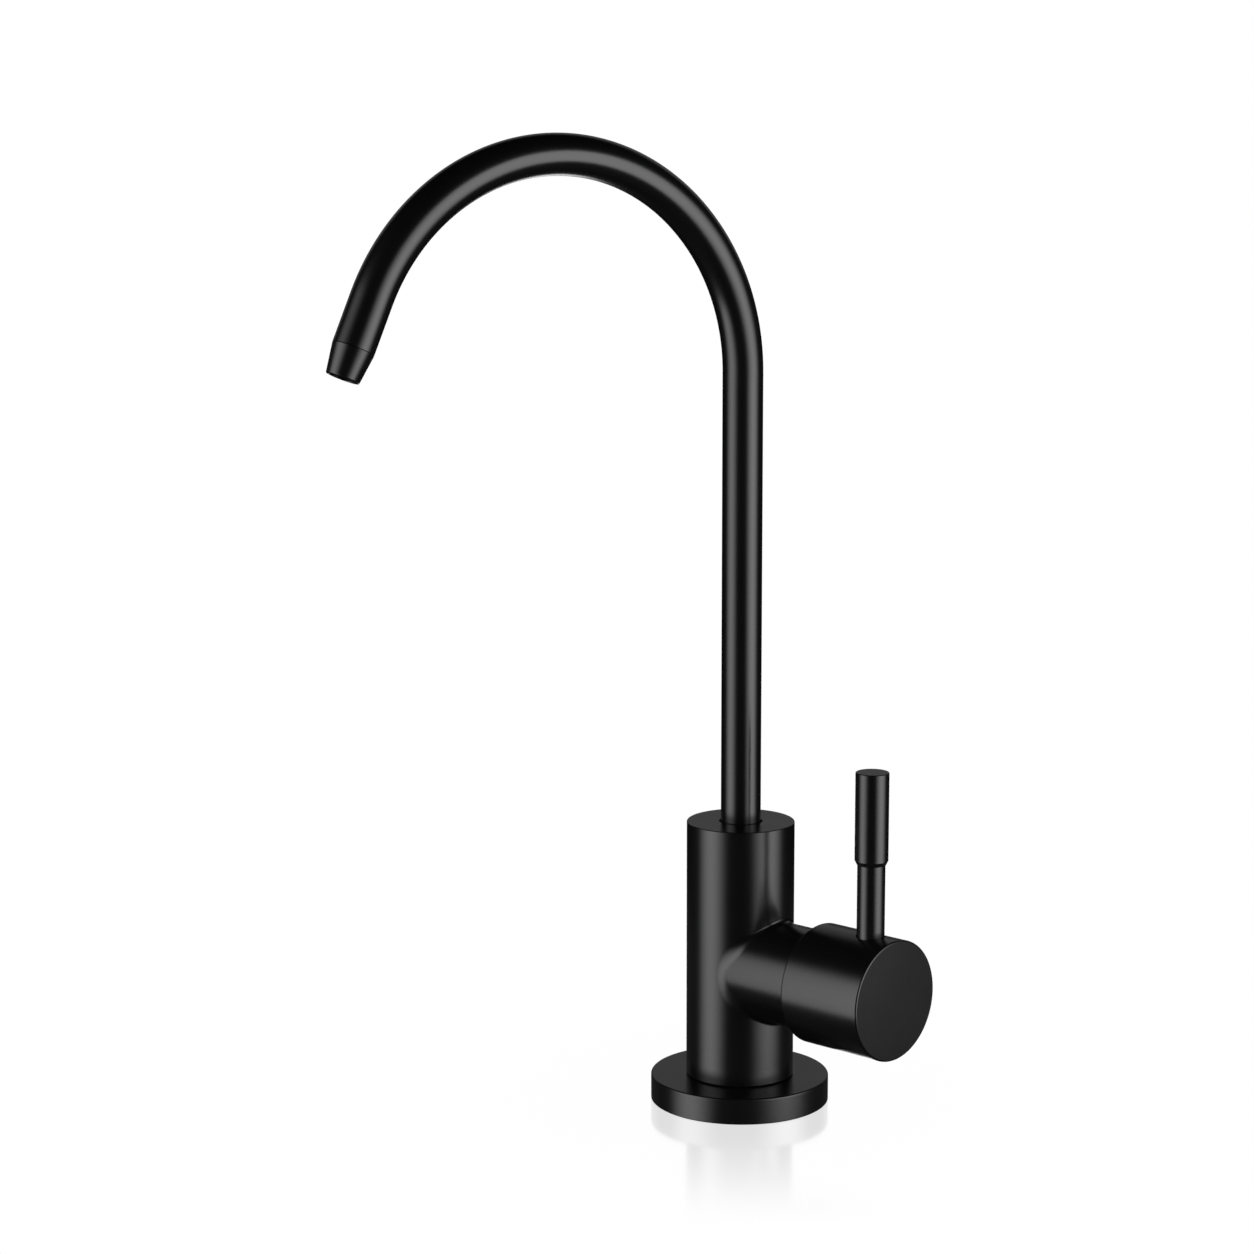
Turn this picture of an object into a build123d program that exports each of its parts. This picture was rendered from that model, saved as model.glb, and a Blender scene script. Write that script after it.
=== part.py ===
from build123d import *
from math import cos, radians, sin
import os

os.makedirs("parts", exist_ok=True)

# Frame: the origin is on the post's axis in the plane of the deck, +Z is up, the valve points along +X
# and the user stands on the -Y side. All lengths are in millimetres, all angles in degrees.

# Driving dimensions
tube_diameter = 12.0
tube_wall = 1.0
body_diameter = 32.5
flange_diameter = 54.0
flange_height = 7.9
arc_start_height = 221.5
arc_radius = 64.0
arc_sweep = 156.4
drop_length = 14.2
tip_length = 8.8
tip_end_diameter = 9.6
spout_turn = 13.7
valve_height = 42.4
spout_hole_rise = 12.6
spout_hole_depth = 31.5
branch_diameter = 30.3
branch_end = 31.2
hub_diameter = 35.9
hub_seam = 0.45
hub_length = 28.65
lever_setback = 9.5
lever_diameter = 8.2
grip_diameter = 9.85
grip_length = 28.4
grip_top_height = 109.0
deck_thickness = 20.0
shank_diameter = 11.1

# Clearances between pieces
running_clearance = 0.05
slip_clearance = 0.1
free_clearance = 0.3
disc_film = 0.02
seal_ease = 0.02
cut_margin = 1.0

# Radii, heights and stations that follow from the driving dimensions
tube_radius = tube_diameter / 2
tube_bore_radius = tube_radius - tube_wall
body_radius = body_diameter / 2
flange_radius = flange_diameter / 2
branch_radius = branch_diameter / 2
hub_radius = hub_diameter / 2
lever_radius = lever_diameter / 2
grip_radius = grip_diameter / 2
shank_radius = shank_diameter / 2
spout_hole_floor = valve_height + spout_hole_rise
body_top_height = spout_hole_floor + spout_hole_depth
hub_start = branch_end + hub_seam
hub_end = hub_start + hub_length
lever_station = hub_end - lever_setback
grip_start_height = grip_top_height - grip_length

# Edge roundings that the eye catches
flange_edge = 0.45
flange_foot_edge = 0.3
body_top_edge = 0.35
body_foot_edge = 0.6
branch_blend = 1.3
branch_end_edge = 0.25
hub_front_edge = 0.4
hub_rear_edge = 0.4
grip_top_edge = 0.35
grip_chamfer_length = 1.3
grip_chamfer_depth = 0.65

# Spout direction and the planes that the pieces are drawn on
reach_direction = Vector(-sin(radians(spout_turn)), -cos(radians(spout_turn)), 0)
side_direction = Vector(-cos(radians(spout_turn)), sin(radians(spout_turn)), 0)
flow_direction = reach_direction * sin(radians(arc_sweep)) + Vector(0, 0, cos(radians(arc_sweep)))


def level(height):
    return Plane.XY.offset(height)


def valve_station(distance):
    return Plane(origin=(distance, 0, valve_height), x_dir=(0, 1, 0), z_dir=(1, 0, 0))


def spout_point(reach, height):
    return reach_direction * reach + Vector(0, 0, height)


def spout_station(distance):
    return Plane(origin=drop_end + flow_direction * distance, x_dir=side_direction, z_dir=flow_direction)


def sector(inner_radius, outer_radius, middle_angle, span):
    start = middle_angle - span / 2
    end = middle_angle + span / 2
    inner_start = (inner_radius * cos(radians(start)), inner_radius * sin(radians(start)))
    outer_start = (outer_radius * cos(radians(start)), outer_radius * sin(radians(start)))
    inner_end = (inner_radius * cos(radians(end)), inner_radius * sin(radians(end)))
    outer_end = (outer_radius * cos(radians(end)), outer_radius * sin(radians(end)))
    with BuildSketch() as face:
        with BuildLine():
            Line(inner_start, outer_start)
            CenterArc((0, 0), outer_radius, start, span)
            Line(outer_end, inner_end)
            CenterArc((0, 0), inner_radius, start, span)
        make_face()
    return face.sketch


def spline_outline(crest_radius, root_radius, teeth):
    step = 360 / teeth
    points = []
    for tooth in range(teeth):
        for share, radius in zip(spline_tooth_shares, (root_radius, crest_radius, crest_radius, root_radius)):
            angle = radians((tooth + share) * step)
            points.append((radius * cos(angle), radius * sin(angle)))
    with BuildSketch() as face:
        with BuildLine():
            Polyline(*points, close=True)
        make_face()
    return face.sketch


def rings(plane, stations, centre_radius, section_radius):
    with BuildPart() as stack:
        for station in stations:
            with BuildSketch(plane):
                with Locations((centre_radius, station)):
                    Circle(section_radius)
            revolve(axis=Axis(plane.origin, plane.y_dir))
    return stack


# Base gasket and flange on the deck
gasket_thickness = 1.5
gasket_outer_radius = 21.9
spigot_radius = 10.0
shank_hole_radius = shank_radius + running_clearance

with BuildPart() as base_gasket:
    with BuildSketch(level(0)):
        Circle(gasket_outer_radius)
        Circle(shank_radius + free_clearance, mode=Mode.SUBTRACT)
    extrude(amount=gasket_thickness)
base_gasket.part.label = "base_gasket"
export_step(base_gasket.part, "parts/base_gasket.step")

with BuildPart() as base_flange:
    with BuildSketch(level(0)):
        Circle(flange_radius)
        Circle(spigot_radius + slip_clearance, mode=Mode.SUBTRACT)
    extrude(amount=flange_height)
    with BuildSketch(level(0)):
        Circle(gasket_outer_radius + slip_clearance)
    extrude(amount=gasket_thickness, mode=Mode.SUBTRACT)
    rims = base_flange.edges().filter_by(GeomType.CIRCLE).sort_by(SortBy.RADIUS)[-2:]
    fillet(rims.sort_by(Axis.Z)[-1], radius=flange_edge)
    outer_foot = base_flange.edges().filter_by(GeomType.CIRCLE).sort_by(SortBy.RADIUS)[-2:].sort_by(Axis.Z)[0]
    chamfer(outer_foot, length=flange_foot_edge)
base_flange.part.label = "base_flange"
export_step(base_flange.part, "parts/base_flange.step")

# Tap body: the upright post and its side branch, with the waterways drilled in it
spout_hole_radius = 6.5
spout_hole_chamfer = 0.15
inlet_way_radius = 4.0
inlet_way_top = valve_height
shank_socket_top = 20.0
seat_station = 6.0
spigot_length = 4.0
spigot_end = branch_end + spigot_length
branch_spigot_radius = 13.6
chamber_radius = 10.45
seal_pocket_depth = 2.1
seal_pocket_start = spigot_end - seal_pocket_depth
seal_pocket_radius = 11.6
outlet_way_radius = 2.6
outlet_way_start_offset = 1.8
outlet_way_start_rise = 3.0
outlet_way_end_offset = 10.4
outlet_way_end_rise = 7.6
outlet_way_start = Vector(outlet_way_start_offset, 0, spout_hole_floor + outlet_way_start_rise)
outlet_way_end = Vector(outlet_way_end_offset, 0, valve_height + outlet_way_end_rise)
clip_groove_rise = 10.0
clip_groove_height = spout_hole_floor + clip_groove_rise
clip_groove_width = 1.3
clip_groove_radius = 7.3

with BuildPart() as tap_body:
    with BuildSketch(level(flange_height)):
        Circle(body_radius)
    extrude(amount=body_top_height - flange_height)
    with BuildSketch(valve_station(0)):
        Circle(branch_radius)
    extrude(amount=branch_end)
    meeting = tap_body.edges().filter_by(GeomType.CIRCLE, reverse=True).filter_by(GeomType.LINE, reverse=True)
    fillet(meeting, radius=branch_blend)
    fillet(tap_body.edges().filter_by(GeomType.CIRCLE).group_by(Axis.Z)[-1], radius=body_top_edge)
    fillet(tap_body.edges().filter_by(GeomType.CIRCLE).group_by(Axis.Z)[0], radius=body_foot_edge)
    fillet(tap_body.edges().filter_by(GeomType.CIRCLE).sort_by(Axis.X)[-1], radius=branch_end_edge)
    with BuildSketch(level(gasket_thickness)):
        Circle(spigot_radius)
    extrude(amount=flange_height - gasket_thickness)
    with BuildSketch(valve_station(branch_end)):
        Circle(branch_spigot_radius)
    extrude(amount=spigot_end - branch_end)
    # The spout's hole from above, with the groove for its retaining clip
    with BuildSketch(level(spout_hole_floor)):
        Circle(spout_hole_radius)
    extrude(amount=body_top_height - spout_hole_floor, mode=Mode.SUBTRACT)
    with BuildSketch(level(clip_groove_height)):
        Circle(clip_groove_radius)
    extrude(amount=clip_groove_width, mode=Mode.SUBTRACT)
    # The shank's socket and the inlet way from below
    with BuildSketch(level(gasket_thickness)):
        Circle(shank_hole_radius)
    extrude(amount=shank_socket_top - gasket_thickness, mode=Mode.SUBTRACT)
    with BuildSketch(level(shank_socket_top)):
        Circle(inlet_way_radius)
    extrude(amount=inlet_way_top - shank_socket_top, mode=Mode.SUBTRACT)
    # The valve seat, the chamber round the valve and the pocket for its O-ring
    with BuildSketch(valve_station(0)):
        Circle(inlet_way_radius)
    extrude(amount=seat_station, mode=Mode.SUBTRACT)
    with BuildSketch(valve_station(seat_station)):
        Circle(chamber_radius)
    extrude(amount=spigot_end - seat_station, mode=Mode.SUBTRACT)
    with BuildSketch(valve_station(seal_pocket_start)):
        Circle(seal_pocket_radius)
    extrude(amount=spigot_end - seal_pocket_start, mode=Mode.SUBTRACT)
    # The slanted way from the chamber up to the spout's hole
    outlet_way = outlet_way_end - outlet_way_start
    with BuildSketch(Plane(origin=outlet_way_start, x_dir=(0, 1, 0), z_dir=outlet_way)):
        Circle(outlet_way_radius)
    extrude(amount=outlet_way.length, mode=Mode.SUBTRACT)
    hole_rim = tap_body.edges().filter_by(GeomType.CIRCLE).group_by(Axis.Z)[-1].sort_by(SortBy.RADIUS)[0]
    chamfer(hole_rim, length=spout_hole_chamfer)
tap_body.part.label = "tap_body"
export_step(tap_body.part, "parts/tap_body.step")

# Shank through the deck, with the inlet tail below it
mounting_thread_length = 22.0
mounting_thread_end = -deck_thickness - mounting_thread_length
inlet_tail_length = 18.0
inlet_tail_end = mounting_thread_end - inlet_tail_length
inlet_tail_radius = 4.76
shank_bore_radius = 3.2
shank_end_chamfer = 0.8

with BuildPart() as threaded_shank:
    with BuildSketch(level(mounting_thread_end)):
        Circle(shank_radius)
    extrude(amount=shank_socket_top - mounting_thread_end)
    chamfer(threaded_shank.edges().filter_by(GeomType.CIRCLE).group_by(Axis.Z)[0], length=shank_end_chamfer)
    with BuildSketch(level(inlet_tail_end)):
        Circle(inlet_tail_radius)
    extrude(amount=mounting_thread_end - inlet_tail_end)
    chamfer(threaded_shank.edges().filter_by(GeomType.CIRCLE).group_by(Axis.Z)[0], length=shank_end_chamfer)
    with BuildSketch(level(inlet_tail_end)):
        Circle(shank_bore_radius)
    extrude(amount=shank_socket_top - inlet_tail_end, mode=Mode.SUBTRACT)
threaded_shank.part.label = "threaded_shank"
export_step(threaded_shank.part, "parts/threaded_shank.step")

# Washers and nut that draw the shank down under the deck
deck_washer_thickness = 2.0
deck_washer_radius = 16.0
spacer_thickness = 4.0
spacer_radius = 14.5
spacer_edge = 1.0
lock_washer_thickness = 0.8
lock_washer_radius = 8.2
lock_tooth_count = 12
lock_tooth_length = 1.4
lock_tooth_width = 1.9
nut_height = 7.0
nut_flats = 19.0
nut_face_share = 0.97
nut_chamfer_height = 1.0
deck_underside = -deck_thickness
spacer_top = deck_underside - deck_washer_thickness
lock_washer_top = spacer_top - spacer_thickness
nut_top = lock_washer_top - lock_washer_thickness
nut_bottom = nut_top - nut_height
nut_corner_radius = nut_flats / 2 / cos(radians(30))
nut_face_radius = nut_flats / 2 * nut_face_share

with BuildPart() as deck_washer:
    with BuildSketch(level(spacer_top)):
        Circle(deck_washer_radius)
        Circle(shank_radius + free_clearance, mode=Mode.SUBTRACT)
    extrude(amount=deck_washer_thickness)
deck_washer.part.label = "deck_washer"
export_step(deck_washer.part, "parts/deck_washer.step")

with BuildPart() as spacer_washer:
    with BuildSketch(level(lock_washer_top)):
        Circle(spacer_radius)
        Circle(shank_radius + free_clearance, mode=Mode.SUBTRACT)
    extrude(amount=spacer_thickness)
    rim = spacer_washer.edges().filter_by(GeomType.CIRCLE).group_by(Axis.Z)[0].sort_by(SortBy.RADIUS)[-1]
    fillet(rim, radius=spacer_edge)
spacer_washer.part.label = "spacer_washer"
export_step(spacer_washer.part, "parts/spacer_washer.step")

with BuildPart() as lock_washer:
    with BuildSketch(level(nut_top)):
        Circle(lock_washer_radius)
        with PolarLocations(lock_washer_radius, lock_tooth_count):
            Rectangle(lock_tooth_length * 2, lock_tooth_width)
        Circle(shank_radius + free_clearance, mode=Mode.SUBTRACT)
    extrude(amount=lock_washer_thickness)
lock_washer.part.label = "lock_washer"
export_step(lock_washer.part, "parts/lock_washer.step")

with BuildPart() as mounting_nut:
    with BuildSketch(level(nut_bottom)):
        RegularPolygon(radius=nut_flats / 2, side_count=6, major_radius=False)
    extrude(amount=nut_height)
    # A turned blank trims the hexagon's corners at both ends
    with BuildSketch(Plane.XZ):
        with BuildLine():
            Polyline(
                (0, nut_bottom),
                (nut_face_radius, nut_bottom),
                (nut_corner_radius, nut_bottom + nut_chamfer_height),
                (nut_corner_radius, nut_top - nut_chamfer_height),
                (nut_face_radius, nut_top),
                (0, nut_top),
                close=True,
            )
        make_face()
    revolve(axis=Axis.Z, mode=Mode.INTERSECT)
    with BuildSketch(level(nut_bottom)):
        Circle(shank_hole_radius)
    extrude(amount=nut_height, mode=Mode.SUBTRACT)
mounting_nut.part.label = "mounting_nut"
export_step(mounting_nut.part, "parts/mounting_nut.step")

# Spout: riser, arc and drop in one bent tube
foot_shoulder_length = 13.6
foot_bottom_gap = 0.4
foot_bottom_height = spout_hole_floor + foot_bottom_gap
tube_foot_height = foot_bottom_height + foot_shoulder_length
drop_start = spout_point(
    arc_radius - arc_radius * cos(radians(arc_sweep)), arc_start_height + arc_radius * sin(radians(arc_sweep))
)
drop_end = drop_start + flow_direction * drop_length
spout_plane = Plane(origin=(0, 0, 0), x_dir=reach_direction, z_dir=side_direction)

with BuildPart() as spout_tube:
    with BuildLine(spout_plane) as spout_path:
        Line((0, tube_foot_height), (0, arc_start_height))
        CenterArc((arc_radius, arc_start_height), arc_radius, 180, -arc_sweep)
    with BuildSketch(level(tube_foot_height)):
        Circle(tube_radius)
        Circle(tube_bore_radius, mode=Mode.SUBTRACT)
    sweep(path=spout_path.wires()[0])
    with BuildSketch(spout_station(0)):
        Circle(tube_radius)
        Circle(tube_bore_radius, mode=Mode.SUBTRACT)
    extrude(amount=-drop_length)
spout_tube.part.label = "spout_tube"
export_step(spout_tube.part, "parts/spout_tube.step")

# Tapered outlet pressed into the tube's end
tip_spigot_length = 8.0
tip_joint_groove = 0.25
tip_end_radius = tip_end_diameter / 2
tip_lip_edge = 0.35
tip_bore_radius = 3.3
outlet_recess_radius = 3.95
outlet_recess_depth = 4.2

with BuildPart() as spout_tip:
    with BuildSketch(spout_station(0)):
        Circle(tube_radius - tip_joint_groove)
    with BuildSketch(spout_station(tip_joint_groove)):
        Circle(tube_radius)
    loft()
    with BuildSketch(spout_station(tip_joint_groove)):
        Circle(tube_radius)
    with BuildSketch(spout_station(tip_length)):
        Circle(tip_end_radius)
    loft()
    fillet(spout_tip.edges().filter_by(GeomType.CIRCLE).sort_by(SortBy.RADIUS)[0], radius=tip_lip_edge)
    with BuildSketch(spout_station(-tip_spigot_length)):
        Circle(tube_bore_radius - running_clearance)
    extrude(amount=tip_spigot_length)
    with BuildSketch(spout_station(-tip_spigot_length)):
        Circle(tip_bore_radius)
    extrude(amount=tip_spigot_length + tip_length, mode=Mode.SUBTRACT)
    with BuildSketch(spout_station(tip_length - outlet_recess_depth)):
        Circle(outlet_recess_radius)
    extrude(amount=outlet_recess_depth, mode=Mode.SUBTRACT)
spout_tip.part.label = "spout_tip"
export_step(spout_tip.part, "parts/spout_tip.step")

# Flow straightener seated in the outlet's recess
straightener_depth = 2.6
straightener_hole_radius = 0.55
straightener_ring_radii = (0, 1.45, 2.8)
straightener_hole_counts = (1, 6, 12)

with BuildPart() as flow_straightener:
    with BuildSketch(spout_station(tip_length - outlet_recess_depth)):
        Circle(outlet_recess_radius - running_clearance)
        for ring_radius, hole_count in zip(straightener_ring_radii, straightener_hole_counts):
            with PolarLocations(ring_radius, hole_count):
                Circle(straightener_hole_radius, mode=Mode.SUBTRACT)
    extrude(amount=straightener_depth)
flow_straightener.part.label = "flow_straightener"
export_step(flow_straightener.part, "parts/flow_straightener.step")

# Spout foot: seals and swivels in the body's hole
foot_spigot_length = 9.0
foot_radius = spout_hole_radius - running_clearance
foot_spigot_top = tube_foot_height + foot_spigot_length
foot_bore_radius = 3.5
seal_groove_radius = 4.7
seal_groove_width = 2.3
first_seal_rise = 1.8
seal_groove_pitch = 3.7
first_seal_height = foot_bottom_height + first_seal_rise
seal_groove_heights = (first_seal_height, first_seal_height + seal_groove_pitch)
foot_clip_groove_radius = 5.3
foot_clip_groove_width = clip_groove_width + free_clearance * 2

with BuildPart() as spout_foot:
    with BuildSketch(level(foot_bottom_height)):
        Circle(foot_radius)
    extrude(amount=tube_foot_height - foot_bottom_height)
    for groove_height in seal_groove_heights:
        with BuildSketch(level(groove_height)):
            Circle(foot_radius)
            Circle(seal_groove_radius, mode=Mode.SUBTRACT)
        extrude(amount=seal_groove_width, mode=Mode.SUBTRACT)
    with BuildSketch(level(clip_groove_height - free_clearance)):
        Circle(foot_radius)
        Circle(foot_clip_groove_radius, mode=Mode.SUBTRACT)
    extrude(amount=foot_clip_groove_width, mode=Mode.SUBTRACT)
    with BuildSketch(level(tube_foot_height)):
        Circle(tube_bore_radius - running_clearance)
    extrude(amount=foot_spigot_top - tube_foot_height)
    with BuildSketch(level(foot_bottom_height)):
        Circle(foot_bore_radius)
    extrude(amount=foot_spigot_top - foot_bottom_height, mode=Mode.SUBTRACT)
spout_foot.part.label = "spout_foot"
export_step(spout_foot.part, "parts/spout_foot.step")

# O-rings, guide bush and retaining clip of the swivel
seal_section_radius = (foot_radius - seal_groove_radius) / 2 - seal_ease
seal_centres = [height + seal_groove_width / 2 for height in seal_groove_heights]
spout_o_rings = rings(Plane.XZ, seal_centres, (foot_radius + seal_groove_radius) / 2, seal_section_radius)
spout_o_rings.part.label = "spout_o_rings"
export_step(spout_o_rings.part, "parts/spout_o_rings.step")

bush_rise = 5.0
bush_depth = 0.9
bush_start_height = tube_foot_height + bush_rise
bush_end_height = body_top_height - bush_depth
bush_edge = 0.15

with BuildPart() as spout_guide_bush:
    with BuildSketch(level(bush_start_height)):
        Circle(foot_radius)
        Circle(tube_radius + running_clearance, mode=Mode.SUBTRACT)
    extrude(amount=bush_end_height - bush_start_height)
    bush_rims = spout_guide_bush.edges().filter_by(GeomType.CIRCLE).sort_by(SortBy.RADIUS)[-2:]
    chamfer(bush_rims, length=bush_edge)
spout_guide_bush.part.label = "spout_guide_bush"
export_step(spout_guide_bush.part, "parts/spout_guide_bush.step")

clip_thickness = 1.0
clip_outer_radius = clip_groove_radius - slip_clearance
clip_inner_radius = foot_clip_groove_radius + free_clearance
clip_span = 300.0

with BuildPart() as spout_clip:
    with BuildSketch(level(clip_groove_height + (clip_groove_width - clip_thickness) / 2)):
        add(sector(clip_inner_radius, clip_outer_radius, 0, clip_span))
    extrude(amount=clip_thickness)
spout_clip.part.label = "spout_clip"
export_step(spout_clip.part, "parts/spout_clip.step")

# Ceramic valve: housing screwed into the branch
seal_protrusion = 1.0
housing_start = seat_station + seal_protrusion
housing_nose_radius = 8.6
housing_bore_radius = 7.4
housing_bore_end = 19.2
housing_thread_start = 20.5
housing_thread_radius = chamber_radius - running_clearance
housing_relief = 1.1
housing_thread_end = seal_pocket_start - housing_relief
housing_neck_radius = 9.7
hex_start = spigot_end
hex_length = 5.8
hex_end = hex_start + hex_length
hex_flats = 24.0
collar_radius = 7.5
collar_length = 4.0
collar_end = hex_end + collar_length
stem_radius = 4.5
stem_bore_radius = stem_radius + running_clearance
window_start = 15.0
window_end = 18.9
window_span = 114.0
window_inner_radius = housing_bore_radius - slip_clearance
window_outer_radius = housing_nose_radius + cut_margin
notch_width = 3.2
notch_end = 12.6

with BuildPart() as valve_housing:
    with BuildSketch(valve_station(housing_start)):
        Circle(housing_nose_radius)
    extrude(amount=housing_thread_end - housing_start)
    with BuildSketch(valve_station(housing_thread_start)):
        Circle(housing_thread_radius)
    extrude(amount=housing_thread_end - housing_thread_start)
    with BuildSketch(valve_station(housing_thread_end)):
        Circle(housing_neck_radius)
    extrude(amount=hex_start - housing_thread_end)
    with BuildSketch(valve_station(hex_start)):
        RegularPolygon(radius=hex_flats / 2, side_count=6, major_radius=False)
    extrude(amount=hex_end - hex_start)
    with BuildSketch(valve_station(hex_end)):
        Circle(collar_radius)
    extrude(amount=collar_end - hex_end)
    with BuildSketch(valve_station(housing_start)):
        Circle(housing_bore_radius)
    extrude(amount=housing_bore_end - housing_start, mode=Mode.SUBTRACT)
    with BuildSketch(valve_station(housing_bore_end)):
        Circle(stem_bore_radius)
    extrude(amount=collar_end - housing_bore_end, mode=Mode.SUBTRACT)
    # Two water windows, which the spindle's tab also turns in
    with BuildSketch(valve_station(window_start)):
        for middle_angle in (90, 270):
            add(sector(window_inner_radius, window_outer_radius, middle_angle, window_span))
    extrude(amount=window_end - window_start, mode=Mode.SUBTRACT)
    # Two notches that stop the fixed disc from turning
    with BuildSketch(valve_station(housing_start)):
        Rectangle(housing_nose_radius * 2 + cut_margin, notch_width)
    extrude(amount=notch_end - housing_start, mode=Mode.SUBTRACT)
valve_housing.part.label = "valve_housing"
export_step(valve_housing.part, "parts/valve_housing.step")

valve_plane = Plane(origin=(0, 0, valve_height), x_dir=(0, 0, 1), z_dir=(0, 1, 0))
housing_seal_section = (seal_pocket_radius - housing_neck_radius) / 2 - running_clearance
housing_o_ring = rings(
    valve_plane,
    [(seal_pocket_start + spigot_end) / 2],
    (seal_pocket_radius + housing_neck_radius) / 2,
    housing_seal_section,
)
housing_o_ring.part.label = "housing_o_ring"
export_step(housing_o_ring.part, "parts/housing_o_ring.step")

# Seat seal and ceramic discs inside the housing
seat_seal_end = 8.6
seat_seal_inner_radius = 4.3
disc_radius = housing_bore_radius - slip_clearance
fixed_disc_end = 12.1
moving_disc_radius = housing_bore_radius - free_clearance
moving_disc_end = 15.1
port_inner_radius = 2.2
port_outer_radius = 6.0
port_span = 80.0
drive_slot_depth = 1.3
drive_slot_width = 2.6
drive_slot_inner = 2.8
drive_slot_outer = 6.4

with BuildPart() as seat_seal:
    with BuildSketch(valve_station(seat_station)):
        Circle(disc_radius)
        Circle(seat_seal_inner_radius, mode=Mode.SUBTRACT)
    extrude(amount=seat_seal_end - seat_station)
seat_seal.part.label = "seat_seal"
export_step(seat_seal.part, "parts/seat_seal.step")

with BuildPart() as fixed_disc:
    with BuildSketch(valve_station(seat_seal_end)):
        Circle(disc_radius)
        Rectangle(housing_nose_radius * 2 - slip_clearance * 2, notch_width - slip_clearance * 2)
        for middle_angle in (0, 180):
            add(sector(port_inner_radius, port_outer_radius, middle_angle, port_span), mode=Mode.SUBTRACT)
    extrude(amount=fixed_disc_end - disc_film - seat_seal_end)
fixed_disc.part.label = "fixed_disc"
export_step(fixed_disc.part, "parts/fixed_disc.step")

with BuildPart() as moving_disc:
    with BuildSketch(valve_station(fixed_disc_end)):
        Circle(moving_disc_radius)
        for middle_angle in (90, 270):
            add(sector(port_inner_radius, port_outer_radius, middle_angle, port_span), mode=Mode.SUBTRACT)
    extrude(amount=moving_disc_end - fixed_disc_end)
    with BuildSketch(valve_station(moving_disc_end - drive_slot_depth)):
        slot_middle = (drive_slot_inner + drive_slot_outer) / 2
        with Locations((slot_middle, 0), (-slot_middle, 0)):
            Rectangle(drive_slot_outer - drive_slot_inner, drive_slot_width)
    extrude(amount=drive_slot_depth, mode=Mode.SUBTRACT)
moving_disc.part.label = "moving_disc"
export_step(moving_disc.part, "parts/moving_disc.step")

# Spindle that turns the moving disc, with its stop tab, seals and clip
plate_end = 18.6
plate_cut_span = 70.0
plate_cut_radius = moving_disc_radius + cut_margin
drive_lug_length = drive_slot_outer - drive_slot_inner - slip_clearance * 2
drive_lug_width = drive_slot_width - slip_clearance * 2
tab_start = 15.6
tab_end = 18.3
tab_outer_radius = 8.3
tab_rest_angle = 45.0
tab_span = 18.0
stem_groove_radius = 3.4
stem_groove_width = 1.4
stem_groove_stations = (23.5, 28.5)
stem_clip_station = collar_end + running_clearance
stem_clip_width = 0.9
stem_clip_groove_radius = 3.7
spindle_clip_radius = 6.3
stem_shoulder = 0.35
stem_end = stem_clip_station + stem_clip_width + stem_shoulder
hub_face_thickness = 5.5
spline_start = stem_end
spline_end = hub_end - hub_face_thickness
spline_tooth_count = 20
spline_crest_radius = 4.0
spline_root_radius = 3.55
spline_tooth_shares = (0.0, 0.25, 0.5, 0.75)

with BuildPart() as valve_spindle:
    with BuildSketch(valve_station(moving_disc_end)):
        Circle(moving_disc_radius)
        for middle_angle in (90, 270):
            add(sector(stem_radius, plate_cut_radius, middle_angle, plate_cut_span), mode=Mode.SUBTRACT)
    extrude(amount=plate_end - moving_disc_end)
    with BuildSketch(valve_station(tab_start)):
        add(sector(stem_radius, tab_outer_radius, tab_rest_angle, tab_span))
    extrude(amount=tab_end - tab_start)
    with BuildSketch(valve_station(moving_disc_end - drive_slot_depth + slip_clearance)):
        with Locations((slot_middle, 0), (-slot_middle, 0)):
            Rectangle(drive_lug_length, drive_lug_width)
    extrude(amount=drive_slot_depth - slip_clearance)
    with BuildSketch(valve_station(plate_end)):
        Circle(stem_radius)
    extrude(amount=stem_end - plate_end)
    for groove_station in stem_groove_stations:
        with BuildSketch(valve_station(groove_station)):
            Circle(stem_radius)
            Circle(stem_groove_radius, mode=Mode.SUBTRACT)
        extrude(amount=stem_groove_width, mode=Mode.SUBTRACT)
    with BuildSketch(valve_station(stem_clip_station)):
        Circle(stem_radius)
        Circle(stem_clip_groove_radius, mode=Mode.SUBTRACT)
    extrude(amount=stem_clip_width, mode=Mode.SUBTRACT)
    with BuildSketch(valve_station(spline_start)):
        add(spline_outline(spline_crest_radius, spline_root_radius, spline_tooth_count))
    extrude(amount=spline_end - spline_start)
valve_spindle.part.label = "valve_spindle"
export_step(valve_spindle.part, "parts/valve_spindle.step")

stem_seal_section = (stem_radius - stem_groove_radius) / 2 - seal_ease
stem_seal_stations = [station + stem_groove_width / 2 for station in stem_groove_stations]
stem_seal_centre = (stem_radius + stem_groove_radius) / 2
stem_o_rings = rings(valve_plane, stem_seal_stations, stem_seal_centre, stem_seal_section)
stem_o_rings.part.label = "stem_o_rings"
export_step(stem_o_rings.part, "parts/stem_o_rings.step")

with BuildPart() as spindle_clip:
    with BuildSketch(valve_station(stem_clip_station + running_clearance)):
        add(sector(stem_clip_groove_radius + running_clearance, spindle_clip_radius, 90, clip_span))
    extrude(amount=stem_clip_width - running_clearance * 2)
spindle_clip.part.label = "spindle_clip"
export_step(spindle_clip.part, "parts/spindle_clip.step")

# Glide ring between the branch's spigot and the hub's skirt
skirt_radius = 15.0
glide_ring_gap = 0.2
glide_ring_start = branch_end
glide_ring_end = spigot_end - glide_ring_gap

with BuildPart() as glide_ring:
    with BuildSketch(valve_station(glide_ring_start)):
        Circle(skirt_radius - running_clearance)
        Circle(branch_spigot_radius + running_clearance, mode=Mode.SUBTRACT)
    extrude(amount=glide_ring_end - glide_ring_start)
glide_ring.part.label = "glide_ring"
export_step(glide_ring.part, "parts/glide_ring.step")

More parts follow.
